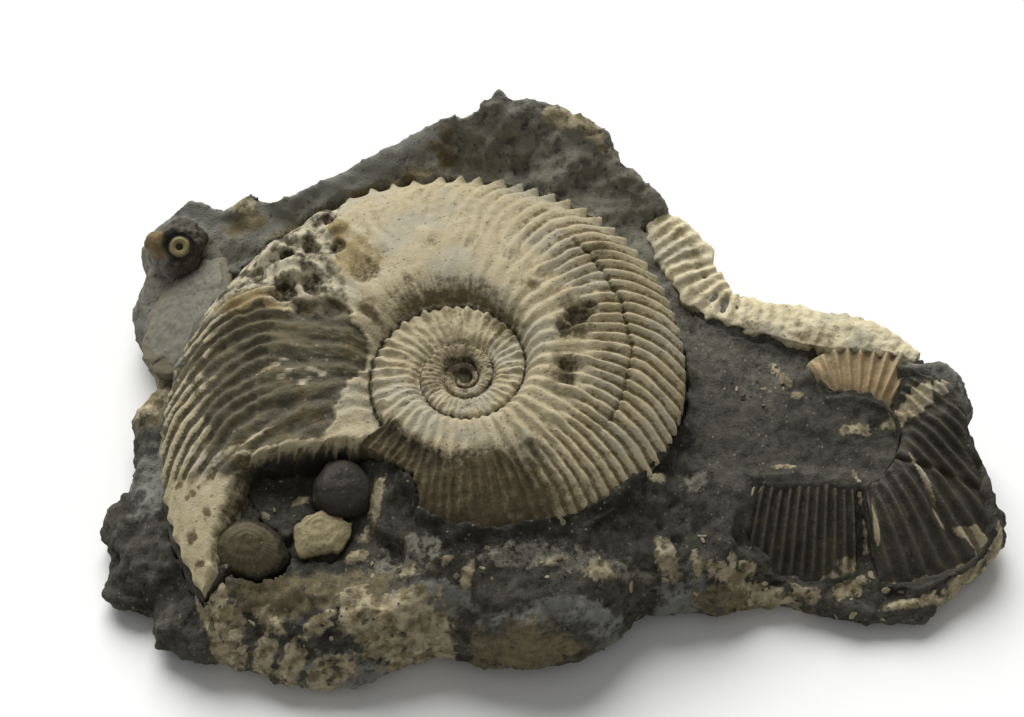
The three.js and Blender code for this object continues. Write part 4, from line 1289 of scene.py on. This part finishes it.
def scrap_rule(material):
    """Small angular scraps of shell, set in the rock where its chips mask is."""
    rule = Rule("shell scraps", SCRAPS)

    def random(low, high, seed, kind="FLOAT"):
        made = rule.add("FunctionNodeRandomValue", data_type=kind)
        sockets = [socket for socket in made.inputs if socket.enabled and socket.name in ("Min", "Max")]
        for socket, value in zip(sockets, (low, high)):
            fill(rule.tree, socket, value)
        made.inputs["Seed"].default_value = seed
        return next(socket for socket in made.outputs if socket.enabled)

    chips = rule.named("chips")
    spread = rule.add(
        "GeometryNodeDistributePointsOnFaces",
        {"Mesh": rule.start["Geometry"], "Seed": rule.size("Seed"), "Density": chips * rule.size("Density")},
    )
    ball = rule.add("GeometryNodeMeshIcoSphere", {"Radius": 1.0, "Subdivisions": 1})
    uneven = rule.add("ShaderNodeTexNoise", {"Scale": 1.3, "Detail": 1.0})
    centred = rule.vector("SUBTRACT", uneven.outputs[1], (0.5, 0.5, 0.5))
    scrap = rule.add(
        "GeometryNodeSetPosition", {"Geometry": ball.outputs[0], "Offset": rule.scaled(centred, 1.6)}
    )
    chance = Field(rule.tree, random(0.0, 1.0, 3))
    size = rule.size("Smallest") + (rule.size("Largest") - rule.size("Smallest")) * chance ** 2.5
    shape = random((0.6, 0.35, 0.12), (1.3, 0.9, 0.35), 5, "FLOAT_VECTOR")
    lean = rule.add(
        "FunctionNodeEulerToRotation", {0: random((-0.5, -0.5, -3.1), (0.5, 0.5, 3.1), 9, "FLOAT_VECTOR")}
    )
    turned = rule.add(
        "FunctionNodeRotateRotation", {0: spread.outputs["Rotation"], 1: lean.outputs[0]},
        rotation_space="LOCAL",
    )
    placed = rule.add("GeometryNodeInstanceOnPoints", {
        "Points": spread.outputs["Points"], "Instance": scrap.outputs[0], "Rotation": turned.outputs[0],
        "Scale": rule.scaled(shape, size),
    })
    toned = rule.add("GeometryNodeStoreNamedAttribute", {
        "Geometry": placed.outputs[0], "Value": Field(rule.tree, random(0.0, 1.0, 21)), "Name": "tone",
    }, domain="INSTANCE")
    rule.finish(toned.outputs[0], material)
    return rule


def make_shell_scraps(rock, material):
    scraps = scrap_rule(material).make("shell_scraps", rock.data.copy())
    settle(scraps)
    scraps.data.shade_flat()


# ---- Finishes ---------------------------------------------------------------------------------


def rgb(red, green, blue):
    """A paint chart's red, green and blue, from 0 to 255, as a scene colour."""
    linear = [
        share / 12.92 if share <= 0.04045 else ((share + 0.055) / 1.055) ** 2.4
        for share in (value / 255 for value in (red, green, blue))
    ]
    return (*linear, 1.0)


def new_group(name, inputs, outputs):
    tree = bpy.data.node_groups.new(name, "ShaderNodeTree")
    kinds = {float: "NodeSocketFloat", tuple: "NodeSocketColor", str: "NodeSocketVector"}
    for socket, value in inputs.items():
        made = tree.interface.new_socket(socket, in_out="INPUT", socket_type=kinds[type(value)])
        if not isinstance(value, str):
            made.default_value = value
    for socket, kind in outputs.items():
        tree.interface.new_socket(socket, in_out="OUTPUT", socket_type=kinds[kind])
    start = tree.nodes.new("NodeGroupInput").outputs
    end = tree.nodes.new("NodeGroupOutput").inputs
    return tree, start, end


def tree_noise(tree, vector, size, detail=4.0, roughness=0.6, seed=0.0):
    shifted = add_node(tree, "ShaderNodeVectorMath", {0: vector, 1: (seed, seed, seed)}, operation="ADD")
    made = add_node(
        tree, "ShaderNodeTexNoise",
        {"Vector": shifted.outputs[0], "Scale": 1 / size, "Detail": detail, "Roughness": roughness},
    )
    return Field(tree, made.outputs[0])


def tree_mix(tree, first, second, share):
    made = add_node(tree, "ShaderNodeMix", {"Factor": share, 6: first, 7: second}, data_type="RGBA")
    return made.outputs[2]


def mottle_group():
    """Uneven tone of a natural surface: clouds, blotches and fine grain, from 0 to 1, with its height."""
    tree, start, end = new_group(
        "mottle", {"Vector": "vector", "Size": 4.0, "Contrast": 1.0}, {"Tone": float, "Height": float}
    )
    size = Field(tree, start["Size"])
    clouds = tree_noise(tree, start["Vector"], size, detail=3.0, roughness=0.55, seed=2.0)
    blotches = tree_noise(tree, start["Vector"], size * 0.3, detail=4.0, roughness=0.65, seed=11.0)
    grain = tree_noise(tree, start["Vector"], size * 0.07, detail=3.0, roughness=0.7, seed=23.0)
    mixed = clouds * 0.45 + blotches * 0.35 + grain * 0.2
    tone = (mixed - 0.5) * Field(tree, start["Contrast"]) * 2.6 + 0.5
    fill(tree, end["Tone"], tone.math("ADD", 0, clamp=True))
    fill(tree, end["Height"], blotches * 0.6 + grain * 0.4)
    return tree


def stain_group():
    """Lays a tint over a colour through a mask, which fine noise breaks up at its edge."""
    tree, start, end = new_group(
        "stain",
        {
            "Color": (0.5, 0.5, 0.5, 1.0), "Tint": (0.2, 0.2, 0.2, 1.0), "Mask": 0.0, "Breakup": 0.5,
            "Size": 1.0, "Vector": "vector",
        },
        {"Color": tuple, "Mask": float},
    )
    size = Field(tree, start["Size"])
    broken = tree_noise(tree, start["Vector"], size, detail=5.0, roughness=0.7, seed=5.0) - 0.5
    mask = Field(tree, start["Mask"])
    edge = mask * (1 - mask) * 4
    torn = (mask + broken * Field(tree, start["Breakup"]) * (edge * 1.2 + 0.5) * 2).ramp(0.08, 0.92)
    torn = torn * mask.ramp(0.0, 0.2)
    fill(tree, end["Color"], tree_mix(tree, start["Color"], start["Tint"], torn))
    fill(tree, end["Mask"], torn)
    return tree


def fleck_group():
    """Scattered small grains and pores as a mask."""
    tree, start, end = new_group("flecks", {"Vector": "vector", "Size": 0.6, "Share": 0.2}, {"Mask": float})
    size = Field(tree, start["Size"])
    warp = tree_noise(tree, start["Vector"], size * 0.8, detail=2.0, seed=3.0)
    bent = add_node(tree, "ShaderNodeVectorMath", {0: start["Vector"]}, operation="ADD")
    fill(tree, bent.inputs[1], warp * size)
    cells = add_node(tree, "ShaderNodeTexVoronoi", {"Vector": bent.outputs[0]})
    fill(tree, cells.inputs["Scale"], 1 / size)
    chance = add_node(tree, "ShaderNodeSeparateColor", {0: cells.outputs["Color"]})
    picked = Field(tree, chance.outputs[0]).below(Field(tree, start["Share"]))
    fill(tree, end["Mask"], picked * Field(tree, cells.outputs["Distance"]).ramp(0.5, 0.15))
    return tree


MOTTLE, STAIN, FLECKS = mottle_group(), stain_group(), fleck_group()


class Finish:
    """A material built up in layers over one Principled surface."""

    def __init__(self, name, roughness):
        self.material = bpy.data.materials.new(name)
        self.material.use_nodes = True
        self.tree = self.material.node_tree
        self.surface = self.tree.nodes["Principled BSDF"]
        self.surface.inputs["Roughness"].default_value = roughness
        self.surface.inputs["Specular IOR Level"].default_value = 0.25
        here = add_node(self.tree, "ShaderNodeTexCoord")
        scaled = add_node(self.tree, "ShaderNodeMapping", {"Vector": here.outputs["Object"]})
        scaled.inputs["Scale"].default_value = (1 / MM, 1 / MM, 1 / MM)
        self.place = scaled.outputs[0]

    def mask(self, name):
        made = add_node(self.tree, "ShaderNodeAttribute", attribute_name=name)
        return Field(self.tree, made.outputs["Fac"])

    def group(self, group, **inputs):
        made = add_node(self.tree, "ShaderNodeGroup", node_tree=group)
        fill(self.tree, made.inputs["Vector"], self.place)
        for name, value in inputs.items():
            fill(self.tree, made.inputs[name], value)
        return made.outputs

    def mottle(self, size, contrast=1.0):
        made = self.group(MOTTLE, Size=size, Contrast=contrast)
        return Field(self.tree, made["Tone"]), Field(self.tree, made["Height"])

    def flecks(self, size, share):
        return Field(self.tree, self.group(FLECKS, Size=size, Share=share)["Mask"])

    def noise(self, size, **settings):
        return tree_noise(self.tree, self.place, size, **settings)

    def mix(self, first, second, share):
        return tree_mix(self.tree, first, second, share)

    def stain(self, colour, tint, mask, breakup=0.5, size=1.0):
        made = self.group(STAIN, Color=colour, Tint=tint, Mask=mask, Breakup=breakup, Size=size)
        return made["Color"], Field(self.tree, made["Mask"])

    def layers(self, colour, *layers):
        """Lays tints over a colour, each through a mask: its name, tint, strength, breakup and size."""
        for mask, tint, strength, breakup, size in layers:
            colour, _ = self.stain(colour, tint, self.mask(mask) * strength, breakup, size)
        return colour

    def finish(self, colour, height, distance, roughness=None, strength=0.7):
        fill(self.tree, self.surface.inputs["Base Color"], colour)
        if roughness is not None:
            fill(self.tree, self.surface.inputs["Roughness"], roughness)
        bump = add_node(self.tree, "ShaderNodeBump", {"Height": height})
        bump.inputs["Distance"].default_value = distance * MM
        bump.inputs["Strength"].default_value = strength
        fill(self.tree, self.surface.inputs["Normal"], bump.outputs[0])
        return self.material


def shell_finish(name, pale, deep, groove, stain, mould_dark, mould_light, blotches=0.55):
    """Chalky fossil shell over dark rock casts, by the masks that the shells carry."""
    look = Finish(name, 0.8)
    tone, height = look.mottle(5.0)
    fine, _ = look.mottle(1.1, 1.2)
    colour = look.mix(deep, pale, tone * 0.75 + 0.25)
    colour = look.mix(colour, deep, (1 - fine).ramp(0.35, 0.9) * 0.7)
    greyed = look.noise(9.0, detail=3.0, seed=21.0).ramp(0.48, 0.62)
    colour = look.mix(colour, rgb(160, 155, 138), greyed * 0.6)
    pores = look.flecks(0.42, 0.05)
    colour = look.mix(colour, groove, pores * 0.55)
    flakes = look.noise(1.9, detail=4.0, seed=8.0).ramp(0.36, 0.6)
    crushed = look.mix(rgb(78, 72, 56), rgb(180, 172, 146), flakes)
    colour = look.layers(
        colour,
        # groove: painted shade and stain between the ribs.
        ("groove", groove, 0.8, 0.6, 0.9),
        ("old", rgb(120, 109, 84), 0.6, 0.6, 1.3),
        # Dirt and painted shade on the bottom of the outer whorl.
        ("grime_and_painted_shade", rgb(72, 63, 42), 0.85, 0.5, 2.2),
        ("yellow", rgb(140, 124, 86), 0.8, 0.8, 1.2),
        # stain: brown stain, and painted shade above the inner turns.
        ("stain", stain, 0.85, 0.7, 1.6),
        ("crushed", crushed, 1.0, 0.4, 1.0),
    )
    cast = look.mix(mould_dark, mould_light, tone * 0.5 + look.mask("crest") * 0.45 + fine * 0.55 - 0.28)
    cast = look.mix(cast, rgb(98, 86, 54), look.noise(3.4, detail=4.0, seed=31.0).ramp(0.48, 0.66) * blotches)
    cast = look.mix(cast, rgb(140, 132, 104), look.flecks(0.7, 0.06) * blotches)
    colour, bare = look.stain(colour, cast, look.mask("mould"), 0.35, 0.7)
    colour = look.layers(
        # The hollow layer is painted shade in holes, seams and cracks, with dark stain.
        colour, ("hollow", rgb(50, 42, 28), 0.9, 0.5, 0.6), ("bite", rgb(46, 44, 38), 1.0, 0.3, 0.8)
    )
    relief = height * 0.5 + look.noise(0.35, detail=3.0) * 0.5 - pores * 0.5
    return look.finish(colour, relief, 0.34, 0.82 - bare * 0.12)


def rock_finish():
    look = Finish("dark limestone", 0.9)
    tone, height = look.mottle(5.0, 1.5)
    fine, _ = look.mottle(1.1, 1.9)
    relief = look.mask("relief")
    crevice_shade_and_grain = rgb(24, 23, 20)
    colour = look.mix(rgb(30, 29, 25), rgb(92, 90, 79), tone * 0.5 + fine * 0.5)
    # Paler mottles towards the back, partly painted light on the side that faces the light.
    colour = look.mix(colour, rgb(150, 147, 132), look.mask("back") * (tone * 0.45 + fine * 0.45))
    # Painted shade in the low places of the relief, and paler on its raised places.
    colour = look.mix(colour, crevice_shade_and_grain, relief.ramp(0.0, -1.5) * 0.65)
    colour = look.mix(colour, rgb(130, 127, 113), relief.ramp(0.1, 1.5) * (fine * 0.6 + 0.15))
    brown = look.mix(rgb(78, 70, 50), rgb(134, 123, 94), tone * 0.4 + fine * 0.6)
    colour = look.layers(
        colour,
        # Painted shade in front of the ammonite.
        ("damp", rgb(34, 33, 27), 0.75, 1.0, 2.0),
        ("pale", rgb(132, 129, 114), 0.62, 1.3, 1.3),
        ("blue", rgb(124, 124, 115), 0.75, 0.9, 1.6),
        ("brown", brown, 0.85, 0.8, 2.4),
    )
    colour = look.mix(colour, rgb(132, 128, 112), look.flecks(0.5, 0.06) * 0.7)
    # Dark grains, in the colour of the painted shade.
    colour = look.mix(colour, crevice_shade_and_grain, look.flecks(0.8, 0.12) * 0.5)
    shell = look.mix(rgb(120, 108, 80), rgb(176, 166, 136), look.noise(1.6, seed=4.0).ramp(0.35, 0.65))
    colour, bare = look.stain(colour, shell, look.mask("cream"), 0.8, 0.9)
    colour = look.mix(colour, rgb(56, 52, 42), look.flecks(1.2, 0.28) * bare * 0.75)
    bump = height * 0.6 + look.noise(0.3, detail=4.0, roughness=0.7) * 0.6
    return look.finish(colour, bump, 0.6, 0.92 - bare * 0.1)


def scrap_finish():
    look = Finish("shell scraps", 0.75)
    tone, height = look.mottle(1.5)
    colour = look.mix(rgb(112, 102, 76), rgb(170, 161, 134), tone)
    colour = look.mix(colour, rgb(70, 67, 57), look.mask("tone").ramp(0.3, 0.6))
    return look.finish(colour, height, 0.12)


def valve_finish(name, base, line, rim, spot, roughness, line_depth=0.6):
    """A bivalve's surface with growth lines, a stained rim and spots."""
    look = Finish(name, roughness)
    tone, height = look.mottle(3.0)
    fine, _ = look.mottle(0.9, 1.4)
    colour = look.mix(line, base, tone * 0.45 + fine * 0.3 + look.mask("crest") * line_depth * 0.4 + 0.1)
    colour = look.mix(colour, line, look.mask("groove").ramp(0.55, 1.0) * line_depth * 0.5)
    colour = look.layers(colour, ("rim", rim, 1.0, 0.7, 1.0))
    colour = look.mix(colour, spot, look.flecks(0.5, 0.06) * 0.7)
    return look.finish(colour, height * 0.5 + look.noise(0.3, detail=3.0) * 0.5, 0.15)


def tube_finish():
    look = Finish("worm tube", 0.65)
    tone, height = look.mottle(2.0)
    colour = look.mix(rgb(36, 35, 30), rgb(88, 82, 66), tone)
    colour = look.layers(
        colour,
        ("tan", rgb(112, 94, 60), 0.9, 0.7, 1.1),
        ("dark_ring", rgb(36, 34, 32), 0.8, 0.6, 0.7),
        ("lip", rgb(138, 127, 90), 0.95, 0.8, 0.7),
        ("bore", rgb(58, 48, 24), 1.0, 0.2, 0.5),
    )
    return look.finish(colour, height, 0.2)


VALVE_COLOURS = {
    "grey_valve": {
        "base": rgb(140, 137, 122), "line": rgb(88, 86, 74), "rim": rgb(112, 106, 86),
        "spot": rgb(66, 63, 53), "roughness": 0.6, "line_depth": 0.3,
    },
    "dark_valve": {
        "base": rgb(72, 69, 58), "line": rgb(42, 40, 34), "rim": rgb(46, 44, 37),
        "spot": rgb(104, 100, 84), "roughness": 0.65,
    },
    "brown_valve": {
        "base": rgb(94, 86, 60), "line": rgb(54, 49, 35), "rim": rgb(42, 38, 29),
        "spot": rgb(120, 112, 84), "roughness": 0.7,
    },
    "cream_valve": {
        "base": rgb(160, 150, 116), "line": rgb(124, 113, 82), "rim": rgb(132, 122, 90),
        "spot": rgb(84, 74, 50), "roughness": 0.75,
    },
}

# ---- Stage ------------------------------------------------------------------------------------

CAMERA_AT = (-6.16, -267.71, 417.55)
CAMERA_AIM = (-6.16, 13.93, 0)
CAMERA_LENS = 120
FLOOR_SIZE = 6.0
ROOM_LIGHT = 0.27
TOP_LIGHT = 4.1
TOP_LIGHT_SPREAD = 50
TOP_LIGHT_FROM = (-0.25, 1.1, 1.0)


def set_stage():
    scene = bpy.context.scene
    scene.view_settings.view_transform = "Standard"
    lens = bpy.data.cameras.new("camera")
    lens.lens = CAMERA_LENS
    lens.sensor_width = 36
    lens.clip_start = 0.01
    camera = bpy.data.objects.new("camera", lens)
    scene.collection.objects.link(camera)
    at, aim = TO_FRAME @ Vector(CAMERA_AT), TO_FRAME @ Vector(CAMERA_AIM)
    camera.location = at
    camera.rotation_euler = (aim - at).to_track_quat("-Z", "Y").to_euler()
    scene.camera = camera

    look = Finish("pale paper", 0.9)
    tone, height = look.mottle(40.0, 0.3)
    paper = look.finish(look.mix(rgb(240, 240, 238), rgb(250, 250, 249), tone), height, 0.01, strength=0.1)
    half = FLOOR_SIZE / 2
    corners = [(-half, -half, 0), (half, -half, 0), (half, half, 0), (-half, half, 0)]
    floor = mesh_from("floor", corners, [(0, 1, 2, 3)], paper)

    world = bpy.data.worlds.new("soft room")
    world.use_nodes = True
    world.node_tree.nodes["Background"].inputs["Color"].default_value = (1, 1, 1, 1)
    world.node_tree.nodes["Background"].inputs["Strength"].default_value = ROOM_LIGHT
    scene.world = world
    data = bpy.data.lights.new("wide top light", "SUN")
    data.energy = TOP_LIGHT
    data.angle = math.radians(TOP_LIGHT_SPREAD)
    light = bpy.data.objects.new("wide top light", data)
    light.rotation_euler = Vector(TOP_LIGHT_FROM).to_track_quat("Z", "Y").to_euler()
    scene.collection.objects.link(light)


# ---- The whole block --------------------------------------------------------------------------

set_stage()

cream_shell = shell_finish(
    "cream shell", pale=rgb(186, 176, 146), deep=rgb(150, 137, 103), groove=rgb(94, 81, 51),
    stain=rgb(92, 80, 54), mould_dark=rgb(46, 42, 32), mould_light=rgb(106, 100, 76),
)
pink_shell = shell_finish(
    "pinkish shell and grey cast", pale=rgb(178, 167, 136), deep=rgb(146, 132, 102), groove=rgb(88, 78, 58),
    stain=rgb(178, 156, 120), mould_dark=rgb(34, 32, 27), mould_light=rgb(80, 77, 65), blotches=0.15,
)
# A paler copy of the cream shell for the stretch of whorl: partly its own paler shell, partly painted light,
# as that strip faces the light.
pale_shell_with_painted_light = shell_finish(
    "pale shell with painted light", pale=rgb(216, 206, 174), deep=rgb(184, 172, 136), groove=rgb(124, 112, 80),
    stain=rgb(132, 120, 88), mould_dark=rgb(46, 42, 32), mould_light=rgb(106, 100, 76),
)
make_main_ammonite(cream_shell)
make_fan("right_ammonite", pink_shell, finish_right_fan)
make_fan("low_ammonite", pink_shell, finish_low_fan)
make_edge_ammonite(pale_shell_with_painted_light)
for node, colours in VALVE_COLOURS.items():
    make_valve(node, valve_finish(node.replace("_", " "), **colours))
make_worm_tube(tube_finish())
rock = make_rock(rock_finish())
make_shell_scraps(rock, scrap_finish())
settle(rock)
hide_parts("matrix")
